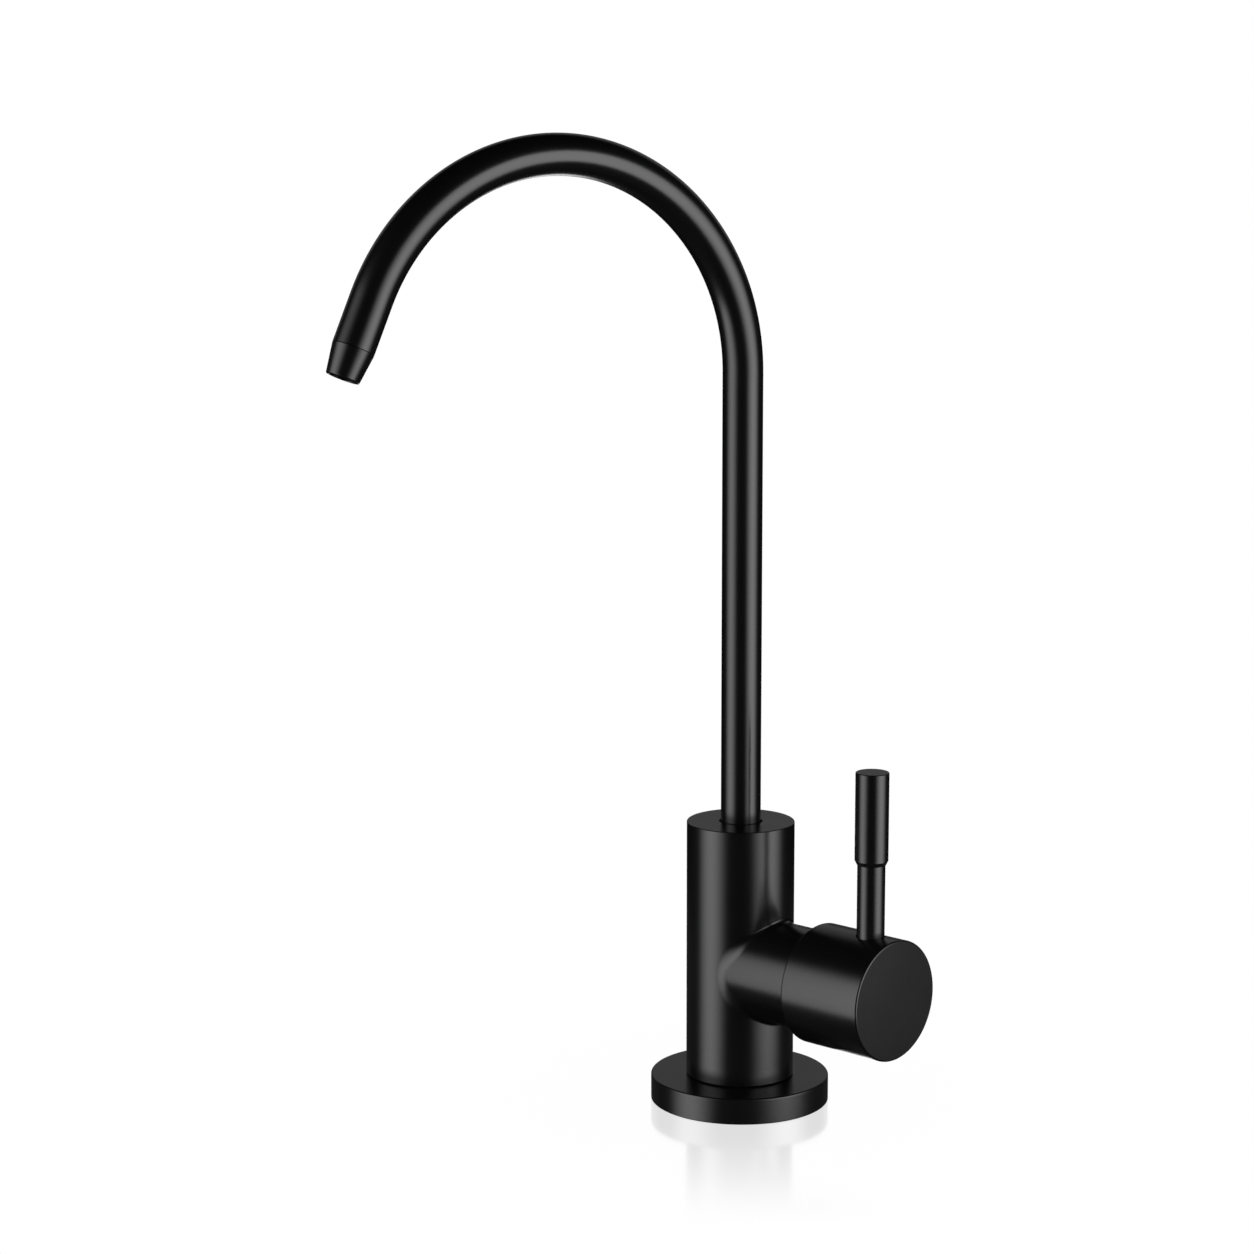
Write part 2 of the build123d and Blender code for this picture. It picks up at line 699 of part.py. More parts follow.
# Handle hub: hollow skirt, splined socket, lever hole and grub screw hole
skirt_depth_end = stem_end + free_clearance
lever_pocket_clearance = 0.22
lever_pocket_radius = lever_radius + lever_pocket_clearance
lever_pocket_depth = 3.0
lever_thread_radius = 3.0
hub_boss_radius = 5.3
lever_thread_floor = valve_height + hub_boss_radius
lever_seat_height = valve_height + hub_radius - lever_pocket_depth
grub_radius = 2.0
grub_length = 6.0
grub_top_height = valve_height - spline_crest_radius - slip_clearance

with BuildPart() as handle_hub:
    with BuildSketch(valve_station(hub_start)):
        Circle(hub_radius)
    extrude(amount=hub_end - hub_start)
    fillet(handle_hub.edges().filter_by(GeomType.CIRCLE).sort_by(Axis.X)[-1], radius=hub_front_edge)
    fillet(handle_hub.edges().filter_by(GeomType.CIRCLE).sort_by(Axis.X)[0], radius=hub_rear_edge)
    with BuildSketch(valve_station(hub_start)):
        Circle(skirt_radius)
    extrude(amount=skirt_depth_end - hub_start, mode=Mode.SUBTRACT)
    with BuildSketch(valve_station(skirt_depth_end)):
        add(
            spline_outline(
                spline_crest_radius + running_clearance,
                spline_root_radius + running_clearance,
                spline_tooth_count,
            )
        )
    extrude(amount=spline_end + slip_clearance - skirt_depth_end, mode=Mode.SUBTRACT)
    with BuildSketch(level(lever_seat_height)):
        with Locations((lever_station, 0)):
            Circle(lever_pocket_radius)
    extrude(amount=lever_pocket_depth + cut_margin, mode=Mode.SUBTRACT)
    with BuildSketch(level(lever_thread_floor)):
        with Locations((lever_station, 0)):
            Circle(lever_thread_radius + running_clearance)
    extrude(amount=lever_seat_height - lever_thread_floor, mode=Mode.SUBTRACT)
    with BuildSketch(level(valve_height)):
        with Locations((lever_station, 0)):
            Circle(grub_radius + running_clearance)
    extrude(amount=-hub_radius - cut_margin, mode=Mode.SUBTRACT)
handle_hub.part.label = "handle_hub"
export_step(handle_hub.part, "parts/handle_hub.step")

grub_socket_flats = 2.0
grub_socket_depth = 2.4
grub_point_chamfer = 0.6

with BuildPart() as hub_grub_screw:
    with BuildSketch(level(grub_top_height - grub_length)):
        with Locations((lever_station, 0)):
            Circle(grub_radius)
    extrude(amount=grub_length)
    chamfer(hub_grub_screw.edges().filter_by(GeomType.CIRCLE).sort_by(Axis.Z)[-1], length=grub_point_chamfer)
    with BuildSketch(level(grub_top_height - grub_length)):
        with Locations((lever_station, 0)):
            RegularPolygon(radius=grub_socket_flats / 2, side_count=6, major_radius=False)
    extrude(amount=grub_socket_depth, mode=Mode.SUBTRACT)
hub_grub_screw.part.label = "hub_grub_screw"
export_step(hub_grub_screw.part, "parts/hub_grub_screw.step")

# Lever: rod screwed into the hub, with the grip sleeve over its upper half
grip_cap_thickness = 4.0
rod_top_height = grip_top_height - grip_cap_thickness
rod_seat_gap = 0.3

with BuildPart() as lever_rod:
    with BuildSketch(level(lever_thread_floor + rod_seat_gap)):
        with Locations((lever_station, 0)):
            Circle(lever_thread_radius)
    extrude(amount=lever_seat_height - lever_thread_floor - rod_seat_gap)
    with BuildSketch(level(lever_seat_height)):
        with Locations((lever_station, 0)):
            Circle(lever_radius)
    extrude(amount=rod_top_height - lever_seat_height)
lever_rod.part.label = "lever_rod"
export_step(lever_rod.part, "parts/lever_rod.step")

with BuildPart() as lever_grip:
    with BuildSketch(level(grip_start_height)):
        with Locations((lever_station, 0)):
            Circle(grip_radius)
    extrude(amount=grip_top_height - grip_start_height)
    fillet(lever_grip.edges().filter_by(GeomType.CIRCLE).sort_by(Axis.Z)[-1], radius=grip_top_edge)
    chamfer(
        lever_grip.edges().filter_by(GeomType.CIRCLE).sort_by(Axis.Z)[0],
        length=grip_chamfer_length,
        length2=grip_chamfer_depth,
        reference=lever_grip.faces().filter_by(GeomType.CYLINDER)[0],
    )
    with BuildSketch(level(grip_start_height)):
        with Locations((lever_station, 0)):
            Circle(lever_radius + running_clearance)
    extrude(amount=rod_top_height - grip_start_height, mode=Mode.SUBTRACT)
lever_grip.part.label = "lever_grip"
export_step(lever_grip.part, "parts/lever_grip.step")
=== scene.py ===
import math
from functools import partial

import bmesh
import bpy
from mathutils import Matrix, Vector


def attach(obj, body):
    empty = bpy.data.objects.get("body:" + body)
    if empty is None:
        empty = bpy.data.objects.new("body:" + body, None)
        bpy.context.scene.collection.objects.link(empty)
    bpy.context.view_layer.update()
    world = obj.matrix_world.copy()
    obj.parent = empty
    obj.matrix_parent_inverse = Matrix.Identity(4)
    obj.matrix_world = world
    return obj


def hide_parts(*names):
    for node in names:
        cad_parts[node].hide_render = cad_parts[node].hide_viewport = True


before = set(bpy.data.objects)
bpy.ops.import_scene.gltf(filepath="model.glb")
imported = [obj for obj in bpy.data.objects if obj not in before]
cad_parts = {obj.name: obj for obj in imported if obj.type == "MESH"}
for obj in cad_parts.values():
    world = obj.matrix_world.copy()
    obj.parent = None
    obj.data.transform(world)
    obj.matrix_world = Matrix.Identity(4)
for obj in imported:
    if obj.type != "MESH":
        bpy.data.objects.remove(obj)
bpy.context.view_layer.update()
mm = 0.001
fineWeld, seamWeld = 0.0000005, 0.000003  # how close points have to be to become one
print("frame loaded,", len(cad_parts), "nodes")

# where the pieces stand, in millimetres and degrees, as in the part's source
layout = {
    "valveHeight": 42.4,
    "leverStation": 50.8,
    "spoutTurn": 13.7,
    "arcStart": 221.5,
    "arcRadius": 64.0,
    "arcSweep": 156.4,
    "dropLength": 14.2,
}


def placeAt(origin, axis, side):
    z = Vector(axis).normalized()
    x = (Vector(side) - z * Vector(side).dot(z)).normalized()
    place = Matrix((x, z.cross(x), z)).transposed().to_4x4()
    place.translation = Vector(origin)
    return place


def spoutEnd():  # where the tube ends and its tip begins
    turn, sweep = math.radians(layout["spoutTurn"]), math.radians(layout["arcSweep"])
    reach = Vector((-math.sin(turn), -math.cos(turn), 0))
    up = Vector((0, 0, 1))
    flow = reach * math.sin(sweep) + up * math.cos(sweep)
    arcHeight = layout["arcStart"] + layout["arcRadius"] * math.sin(sweep)
    arcEnd = reach * layout["arcRadius"] * (1 - math.cos(sweep)) + up * arcHeight
    side = Vector((-math.cos(turn), math.sin(turn), 0))
    return placeAt(arcEnd + flow * layout["dropLength"], flow, side)


onPost = placeAt((0, 0, 0), (0, 0, 1), (1, 0, 0))
onValve = placeAt((0, 0, layout["valveHeight"]), (1, 0, 0), (0, 1, 0))
onLever = placeAt((layout["leverStation"], 0, 0), (0, 0, 1), (1, 0, 0))
onOutlet = spoutEnd()


def plug(tree, value, socket):  # another node's output is linked, a plain value is set
    if isinstance(value, bpy.types.NodeSocket):
        tree.links.new(value, socket)
    else:
        socket.default_value = value


def addNode(tree, kind, inputs=None, **settings):
    node = tree.nodes.new(kind)
    for name, value in settings.items():
        setattr(node, name, value)
    for label, value in (inputs or {}).items():
        plug(tree, value, node.inputs[label])
    return node


def addMath(tree, operation, *values, clamp=False):
    node = addNode(tree, "ShaderNodeMath", dict(enumerate(values)), operation=operation, use_clamp=clamp)
    return node.outputs[0]


def vectorMath(tree, operation, inputs, output=0):
    return addNode(tree, "ShaderNodeVectorMath", inputs, operation=operation).outputs[output]


def combine(tree, x, y, z):
    return addNode(tree, "ShaderNodeCombineXYZ", {"X": x, "Y": y, "Z": z}).outputs[0]


def separate(tree, vector):
    return addNode(tree, "ShaderNodeSeparateXYZ", {0: vector}).outputs


def noiseAt(tree, place, scale, detail, distortion=0.0):
    inputs = {"Vector": place, "Scale": scale, "Detail": detail, "Distortion": distortion}
    return addNode(tree, "ShaderNodeTexNoise", inputs).outputs["Fac"]


def rangeOver(tree, value, fromMin, fromMax, toMin, toMax):
    inputs = {"Value": value, "From Min": fromMin, "From Max": fromMax, "To Min": toMin, "To Max": toMax}
    return addNode(tree, "ShaderNodeMapRange", inputs, interpolation_type="SMOOTHSTEP").outputs["Result"]


def newGroup(name, sizes, results):  # a shader group that reads a place on the piece
    group = bpy.data.node_groups.new(name, "ShaderNodeTree")
    group.interface.new_socket("Vector", in_out="INPUT", socket_type="NodeSocketVector")
    for label, value in sizes.items():
        group.interface.new_socket(label, in_out="INPUT", socket_type="NodeSocketFloat").default_value = value
    for label in results:
        group.interface.new_socket(label, in_out="OUTPUT", socket_type="NodeSocketFloat")
    return group, group.nodes.new("NodeGroupInput").outputs, group.nodes.new("NodeGroupOutput").inputs


def buildDrift():  # a value that wanders slowly over the surface
    group, given, result = newGroup("softDrift", {"Middle": 0.35, "Spread": 0.05, "Scale": 60.0}, ["Value"])
    centred = addMath(group, "SUBTRACT", noiseAt(group, given["Vector"], given["Scale"], 4.0), 0.5)
    swing = addMath(group, "MULTIPLY", centred, given["Spread"])
    plug(group, addMath(group, "ADD", swing, given["Middle"]), result["Value"])
    return group


def buildGrain():  # the fine skin of a sprayed, moulded or cast surface
    sizes = {"Scale": 900.0, "Coarse Scale": 0.6, "Coarse Share": 0.4}
    group, given, result = newGroup("fineGrain", sizes, ["Height"])
    fine = noiseAt(group, given["Vector"], given["Scale"], 2.0)
    wide = addMath(group, "MULTIPLY", given["Scale"], given["Coarse Scale"])
    coarse = addNode(group, "ShaderNodeTexVoronoi", {"Vector": given["Vector"], "Scale": wide}, feature="SMOOTH_F1")
    bumps = addMath(group, "MULTIPLY", coarse.outputs["Distance"], given["Coarse Share"])
    plug(group, addMath(group, "ADD", fine, bumps), result["Height"])
    return group


def buildToolMarks():  # rings that a lathe leaves along the turning axis
    sizes = {"Pitch Scale": 2500.0, "Waver": 0.4, "Mask Floor": 0.25}
    group, given, result = newGroup("toolMarks", sizes, ["Height", "Mask"])
    drawnOut = vectorMath(group, "MULTIPLY", {0: given["Vector"], 1: (0.02, 0.02, 1.0)})
    rings = noiseAt(group, drawnOut, given["Pitch Scale"], 3.0, given["Waver"])
    plug(group, rings, result["Height"])
    plug(group, addMath(group, "SUBTRACT", rings, given["Mask Floor"], clamp=True), result["Mask"])
    return group


def buildTurning():  # fine grooves that run round a turned piece and fade out and start again
    group, given, result = newGroup("turningGrooves", {"Scale": 6000.0, "Groove Drift": 0.0002}, ["Height"])
    split = separate(group, given["Vector"])
    flat = combine(group, split["X"], split["Y"], 0.0)
    heading = vectorMath(group, "NORMALIZE", {0: flat})
    drift = vectorMath(group, "SCALE", {0: heading, "Scale": given["Groove Drift"]})
    station = combine(group, vectorMath(group, "LENGTH", {0: flat}, "Value"), 0.0, split["Z"])
    moved = vectorMath(group, "ADD", {0: station, 1: drift})
    plug(group, noiseAt(group, moved, given["Scale"], 1.0), result["Height"])
    return group


softDrift, fineGrain, toolMarks, turningGrooves = buildDrift(), buildGrain(), buildToolMarks(), buildTurning()


def useGroup(tree, group, place, values):
    return addNode(tree, "ShaderNodeGroup", {"Vector": place, **values}, node_tree=group).outputs


def addBump(tree, socket, height, distance):
    bump = addNode(tree, "ShaderNodeBump", {"Distance": distance, "Height": height})
    tree.links.new(bump.outputs["Normal"], socket)
    return bump


def newFinish(name, look, dark, light, roughness):  # the colour drifts, and drift is a roughness that wanders
    material = bpy.data.materials.new(name)
    material.use_nodes = True
    tree = material.node_tree
    inputs = tree.nodes["Principled BSDF"].inputs
    place = addNode(tree, "ShaderNodeTexCoord").outputs["Object"]
    ramp = addNode(tree, "ShaderNodeValToRGB", {"Fac": noiseAt(tree, place, look["colourScale"], 5.0)})
    for stop, position, colour in zip(ramp.color_ramp.elements, (0.35, 0.65), (dark, light)):
        stop.position, stop.color = position, (*colour, 1)
    plug(tree, ramp.outputs["Color"], inputs["Base Color"])
    wander = {"Middle": roughness, "Spread": look["spread"], "Scale": look["driftScale"]}
    drift = useGroup(tree, softDrift, place, wander)["Value"]
    return material, tree, inputs, place, drift


coatLook = {
    "dark": (0.0034, 0.0034, 0.0037), "light": (0.0046, 0.0046, 0.0049), "colourScale": 45.0,
    "roughness": 0.25, "spread": 0.04, "driftScale": 70.0,
    "grainScale": 1500.0, "grainShare": 0.5, "grainDepth": 0.0000022,
    "grooveScale": 6000.0, "grooveDrift": 0.0002, "grooveDepth": 0.000009,
}


def satinCoat(name="satinBlackCoat", axis=None, centre=(0, 0, 0)):
    look = coatLook
    tones = look["dark"], look["light"], look["roughness"]
    material, tree, inputs, place, drift = newFinish(name, look, *tones)
    plug(tree, drift, inputs["Roughness"])
    grain = useGroup(tree, fineGrain, place, {"Scale": look["grainScale"], "Coarse Share": look["grainShare"]})
    bump = addBump(tree, inputs["Normal"], grain["Height"], look["grainDepth"])
    if axis:  # the grooves of the turned piece under the coat
        lathe = addNode(tree, "ShaderNodeMapping", vector_type="TEXTURE")
        plug(tree, place, lathe.inputs["Vector"])
        lathe.inputs["Location"].default_value = Vector(centre) * mm
        lathe.inputs["Rotation"].default_value = (0, math.pi / 2, 0) if axis == "X" else (0, 0, 0)
        cutting = {"Scale": look["grooveScale"], "Groove Drift": look["grooveDrift"]}
        grooves = useGroup(tree, turningGrooves, lathe.outputs["Vector"], cutting)
        addBump(tree, bump.inputs["Normal"], grooves["Height"], look["grooveDepth"])
    return material


metalLook = {
    "colourScale": 120.0, "spread": 0.12, "driftScale": 150.0,
    "pitchScale": 2500.0, "waver": 0.3, "markRoughness": 0.12, "markDepth": 0.000012,
}


def turnedMetal(name, dark, light, roughness, axis="Z"):
    look = metalLook
    material, tree, inputs, place, drift = newFinish(name, look, dark, light, roughness)
    inputs["Metallic"].default_value = 1.0
    lathe = addNode(tree, "ShaderNodeMapping", {"Vector": place})
    lathe.inputs["Rotation"].default_value = (0, -math.pi / 2, 0) if axis == "X" else (0, 0, 0)
    cutting = {"Pitch Scale": look["pitchScale"], "Waver": look["waver"]}
    marks = useGroup(tree, toolMarks, lathe.outputs["Vector"], cutting)
    rough = addMath(tree, "MULTIPLY_ADD", marks["Mask"], look["markRoughness"], drift)
    plug(tree, rough, inputs["Roughness"])
    addBump(tree, inputs["Normal"], marks["Height"], look["markDepth"])
    return material


skinLook = {"colourScale": 90.0, "spread": 0.10, "driftScale": 110.0, "grainShare": 0.6}


def mouldedSkin(name, dark, light, roughness, grainScale, grainDepth):
    look = skinLook
    material, tree, inputs, place, drift = newFinish(name, look, dark, light, roughness)
    plug(tree, drift, inputs["Roughness"])
    grain = useGroup(tree, fineGrain, place, {"Scale": grainScale, "Coarse Share": look["grainShare"]})
    addBump(tree, inputs["Normal"], grain["Height"], grainDepth)
    return material


brassTone = ((0.66, 0.47, 0.20), (0.76, 0.58, 0.30), 0.26)
steelTone = ((0.52, 0.52, 0.53), (0.64, 0.64, 0.65), 0.28)
rubberTone = ((0.013, 0.013, 0.013), (0.024, 0.024, 0.024), 0.72)
plasticTone = ((0.020, 0.020, 0.021), (0.030, 0.030, 0.031), 0.48)
ceramicTone = ((0.80, 0.79, 0.75), (0.88, 0.87, 0.83), 0.16)
finishes = {
    "satin_black": satinCoat(),
    "bare_brass": turnedMetal("turnedBrass", *brassTone),
    "bright_steel": turnedMetal("brightSteel", *steelTone),
    "black_rubber": mouldedSkin("blackRubber", *rubberTone, 1100.0, 0.000012),
    "black_plastic": mouldedSkin("blackPlastic", *plasticTone, 1500.0, 0.000006),
    "ceramic": mouldedSkin("lappedCeramic", *ceramicTone, 2200.0, 0.0000015),
}
postCoat = satinCoat("postCoat", "Z")
hubCoat = satinCoat("hubCoat", "X", (0, 0, layout["valveHeight"]))
leverCoat = satinCoat("leverCoat", "Z", (layout["leverStation"], 0, 0))
valveBrass = turnedMetal("valveBrass", *brassTone, axis="X")
print("finishes made")


def roundedOutline(corners, closed, steps):  # corners are radius, height and rounding
    points = []
    for i, (radius, height, rounding) in enumerate(corners):
        here = Vector((radius, height))
        if rounding == 0 or (not closed and i in (0, len(corners) - 1)):
            points.append(here)
            continue
        before = (Vector(corners[i - 1][:2]) - here).normalized()
        after = (Vector(corners[(i + 1) % len(corners)][:2]) - here).normalized()
        half = before.angle(after) / 2
        centre = here + (before + after).normalized() * (rounding / math.sin(half))
        start = here + before * (rounding / math.tan(half)) - centre
        end = here + after * (rounding / math.tan(half)) - centre
        sweep = math.atan2(start.x * end.y - start.y * end.x, start.dot(end))
        points += [centre + Matrix.Rotation(sweep * k / steps, 2) @ start for k in range(steps + 1)]
    return points


def fullTurn(count):
    return [2 * math.pi * k / count for k in range(count)]


def ringAt(form, angles, radius, height, place=onPost):
    spots = [Vector((radius * math.cos(angle), radius * math.sin(angle), height)) for angle in angles]
    return [form.verts.new(place @ spot * mm) for spot in spots]


def turnRings(form, outline, angles, place=onPost):  # a point where the outline meets the axis, else a ring
    return [ringAt(form, angles if radius > 0.000001 else [0], radius, height, place) for radius, height in outline]


def joinRings(form, rings, closed):
    pairs = list(zip(rings, rings[1:])) + ([(rings[-1], rings[0])] if closed else [])
    for low, high in pairs:
        count = max(len(low), len(high))
        for k in range(count):
            corners = [low[k % len(low)], low[(k + 1) % len(low)], high[(k + 1) % len(high)], high[k % len(high)]]
            form.faces.new(list(dict.fromkeys(corners)))


def newObject(name, data):
    thing = bpy.data.objects.new(name, data)
    bpy.context.scene.collection.objects.link(thing)
    return thing


def makeObject(name, form):
    bmesh.ops.remove_doubles(form, verts=form.verts, dist=fineWeld)
    bmesh.ops.recalc_face_normals(form, faces=form.faces)
    mesh = bpy.data.meshes.new(name)
    form.to_mesh(mesh)
    form.free()
    return newObject(name, mesh)


def turned(name, corners, place, closed=True, segments=128, steps=5):
    form = bmesh.new()
    outline = roundedOutline(corners, closed, steps)
    joinRings(form, turnRings(form, outline, fullTurn(segments), place), closed)
    return makeObject(name, form)


def cutter(name, points, place, segments=128):  # a turned tool with plain corners that closes on the axis
    solid = [(0, points[0][1]), *points, (0, points[-1][1])]
    return turned(name, [(radius, height, 0) for radius, height in solid], place, closed=False, segments=segments)


def prism(name, points, low, high, place):
    form = bmesh.new()
    rings = [[form.verts.new(place @ Vector((x, y, height)) * mm) for x, y in points] for height in (low, high)]
    joinRings(form, rings, False)
    form.faces.new(rings[0])
    form.faces.new(rings[1])
    return makeObject(name, form)


def freeze(piece):  # what the modifiers make becomes the piece's own mesh
    bpy.context.view_layer.update()
    graph = bpy.context.evaluated_depsgraph_get()
    live = piece.evaluated_get(graph)
    mesh = bpy.data.meshes.new_from_object(live, preserve_all_data_layers=True, depsgraph=graph)
    piece.modifiers.clear()
    old = piece.data
    piece.data = mesh
    mesh.name = piece.name
    bpy.data.meshes.remove(old)
    return piece


def shapeWith(piece, tools, operation="DIFFERENCE"):
    for tool in tools:
        cut = piece.modifiers.new("shape", "BOOLEAN")
        cut.operation = operation
        cut.solver = "EXACT"
        cut.object = tool
        freeze(piece)
        bpy.data.objects.remove(tool)
    return piece


def smoothPiece(piece, angle, exactNormal):
    form = bmesh.new()
    form.from_mesh(piece.data)
    bmesh.ops.remove_doubles(form, verts=form.verts, dist=fineWeld)
    for face in form.faces:
        face.smooth = True
    for edge in form.edges:
        edge.smooth = edge.calc_face_angle(0) < math.radians(angle)
    form.to_mesh(piece.data)
    form.free()
    weighted = piece.modifiers.new("weighted", "WEIGHTED_NORMAL")
    weighted.keep_sharp = True
    weighted.weight = 60
    freeze(piece)
    if exactNormal:
        mesh = piece.data
        normals = [Vector(n.vector) for n in mesh.corner_normals]
        for face in mesh.polygons:
            for corner in face.loop_indices:
                point = mesh.vertices[mesh.loops[corner].vertex_index].co / mm
                normals[corner] = exactNormal(point, face.normal) or normals[corner]
        mesh.normals_split_custom_set(normals)


def wallNormal(spoke, radius, normal, slack=0.004, facing=0.93):  # the true normal where a corner lies on the wall
    onWall = abs(spoke.length - radius) < slack and normal.dot(spoke.normalized()) > facing
    return spoke.normalized() if onWall else None


def finishPiece(piece, body, slotName, *nodes, material=None, angle=28, exactNormal=None):
    smoothPiece(piece, angle, exactNormal)
    piece.data.materials.clear()
    piece.data.materials.append(material or finishes[slotName])
    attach(piece, body)
    if nodes:
        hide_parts(*nodes)


def newTree(name, sizes, counts=()):
    tree = bpy.data.node_groups.new(name, "GeometryNodeTree")
    addInput = partial(tree.interface.new_socket, in_out="INPUT")
    addInput("Geometry", socket_type="NodeSocketGeometry")
    for label in sizes:
        addInput(label, socket_type="NodeSocketFloat")
    for label in counts:
        addInput(label, socket_type="NodeSocketInt")
    addInput("Material", socket_type="NodeSocketMaterial")
    tree.interface.new_socket("Geometry", in_out="OUTPUT", socket_type="NodeSocketGeometry")
    return tree, tree.nodes.new("NodeGroupInput").outputs, partial(addMath, tree)


def endTree(tree, given, geometry):
    real = addNode(tree, "GeometryNodeRealizeInstances", {0: geometry})
    painted = addNode(tree, "GeometryNodeSetMaterial", {"Geometry": real.outputs[0], "Material": given["Material"]})
    addNode(tree, "NodeGroupOutput", {0: painted.outputs[0]})
    return tree


def growPiece(name, tree, lengths, others=None):  # lengths in millimetres, then angles and counts
    piece = newObject(name, bpy.data.meshes.new(name))
    maker = piece.modifiers.new(name, "NODES")
    maker.node_group = tree
    values = {**{label: length * mm for label, length in lengths.items()}, **(others or {})}
    for item in tree.interface.items_tree:
        if item.in_out == "INPUT" and item.name in values:
            maker[item.identifier] = values[item.name]
    return freeze(piece)


def gooseneckTree():  # one formula bends a straight line into riser, arc and drop
    sizes = ["Foot Height", "Riser Length", "Arc Radius", "Arc Angle", "Drop Length", "Tube Radius", "Turn"]
    tree, given, calc = newTree("gooseneckPath", sizes, ["Stations", "Sides"])
    line = addNode(tree, "GeometryNodeCurvePrimitiveLine", {"End": (0, 0, 1)})
    divided = addNode(tree, "GeometryNodeResampleCurve", {"Curve": line.outputs[0], "Count": given["Stations"]})
    share = addNode(tree, "GeometryNodeSplineParameter").outputs["Factor"]
    bentLength = calc("ADD", given["Riser Length"], calc("MULTIPLY", given["Arc Radius"], given["Arc Angle"]))
    along = calc("MULTIPLY", share, calc("ADD", bentLength, given["Drop Length"]))
    risen = calc("MINIMUM", along, given["Riser Length"])
    pastRiser = calc("MAXIMUM", calc("SUBTRACT", along, given["Riser Length"]), 0.0)
    angle = calc("MINIMUM", calc("DIVIDE", pastRiser, given["Arc Radius"]), given["Arc Angle"])
    dropped = calc("MAXIMUM", calc("SUBTRACT", along, bentLength), 0.0)
    sine, cosine = calc("SINE", angle), calc("COSINE", angle)
    arcOut = calc("MULTIPLY", given["Arc Radius"], calc("SUBTRACT", 1.0, cosine))
    reach = calc("ADD", arcOut, calc("MULTIPLY", sine, dropped))
    arcUp = calc("MULTIPLY", given["Arc Radius"], sine)
    rise = calc("ADD", arcUp, calc("MULTIPLY", cosine, dropped))
    height = calc("ADD", calc("ADD", risen, rise), given["Foot Height"])
    sideways = calc("MULTIPLY", reach, calc("MULTIPLY", calc("SINE", given["Turn"]), -1.0))
    forward = calc("MULTIPLY", reach, calc("MULTIPLY", calc("COSINE", given["Turn"]), -1.0))
    bent = addNode(tree, "GeometryNodeSetPosition", {
        "Geometry": divided.outputs[0], "Position": combine(tree, sideways, forward, height),
    })
    circle = {"Resolution": given["Sides"], "Radius": given["Tube Radius"]}
    section = addNode(tree, "GeometryNodeCurvePrimitiveCircle", circle)
    swept = {"Curve": bent.outputs[0], "Profile Curve": section.outputs[0]}
    return endTree(tree, given, addNode(tree, "GeometryNodeCurveToMesh", swept).outputs[0])


def threadTree():  # a grid rolled into a cylinder, its rows climbing one pitch a turn
    rowsPerTurn, crestFlat, flankSlope, weldDistance = 8.0, 0.2, 1.8, 0.000002
    sizes = ["Crest Radius", "Root Radius", "Pitch", "Start Height"]
    tree, given, calc = newTree("helicalThread", sizes, ["Turns", "Sides"])
    turnsAndOne = calc("ADD", given["Turns"], 1.0)
    grid = addNode(tree, "GeometryNodeMeshGrid", {
        "Vertices X": calc("ADD", given["Sides"], 1.0),
        "Vertices Y": calc("ADD", calc("MULTIPLY", turnsAndOne, rowsPerTurn), 1.0),
    })
    split = separate(tree, addNode(tree, "GeometryNodeInputPosition").outputs[0])
    around = calc("ADD", split["X"], 0.5)
    climb = calc("MULTIPLY", calc("ADD", split["Y"], 0.5), turnsAndOne)
    rawHeight = calc("MULTIPLY", calc("ADD", calc("SUBTRACT", climb, 1.0), around), given["Pitch"])
    length = calc("MULTIPLY", given["Turns"], given["Pitch"])
    height = calc("MINIMUM", calc("MAXIMUM", rawHeight, 0.0), length)
    phase = calc("FRACT", calc("ADD", climb, 0.0001))
    fold = calc("MULTIPLY", calc("ABSOLUTE", calc("SUBTRACT", phase, 0.5)), 2.0)
    crest = calc("MULTIPLY", calc("SUBTRACT", fold, crestFlat), flankSlope, clamp=True)
    nearEnd = calc("MINIMUM", height, calc("SUBTRACT", length, height))
    fade = calc("DIVIDE", nearEnd, given["Pitch"], clamp=True)
    depth = calc("SUBTRACT", given["Crest Radius"], given["Root Radius"])
    radius = calc("ADD", given["Root Radius"], calc("MULTIPLY", depth, calc("MULTIPLY", crest, fade)))
    angle = calc("MULTIPLY", around, 2 * math.pi)
    x = calc("MULTIPLY", radius, calc("COSINE", angle))
    y = calc("MULTIPLY", radius, calc("SINE", angle))
    z = calc("ADD", height, given["Start Height"])
    rolled = addNode(tree, "GeometryNodeSetPosition", {
        "Geometry": grid.outputs["Mesh"], "Position": combine(tree, x, y, z),
    })
    welded = {"Geometry": rolled.outputs[0], "Distance": weldDistance}
    return endTree(tree, given, addNode(tree, "GeometryNodeMergeByDistance", welded).outputs[0])


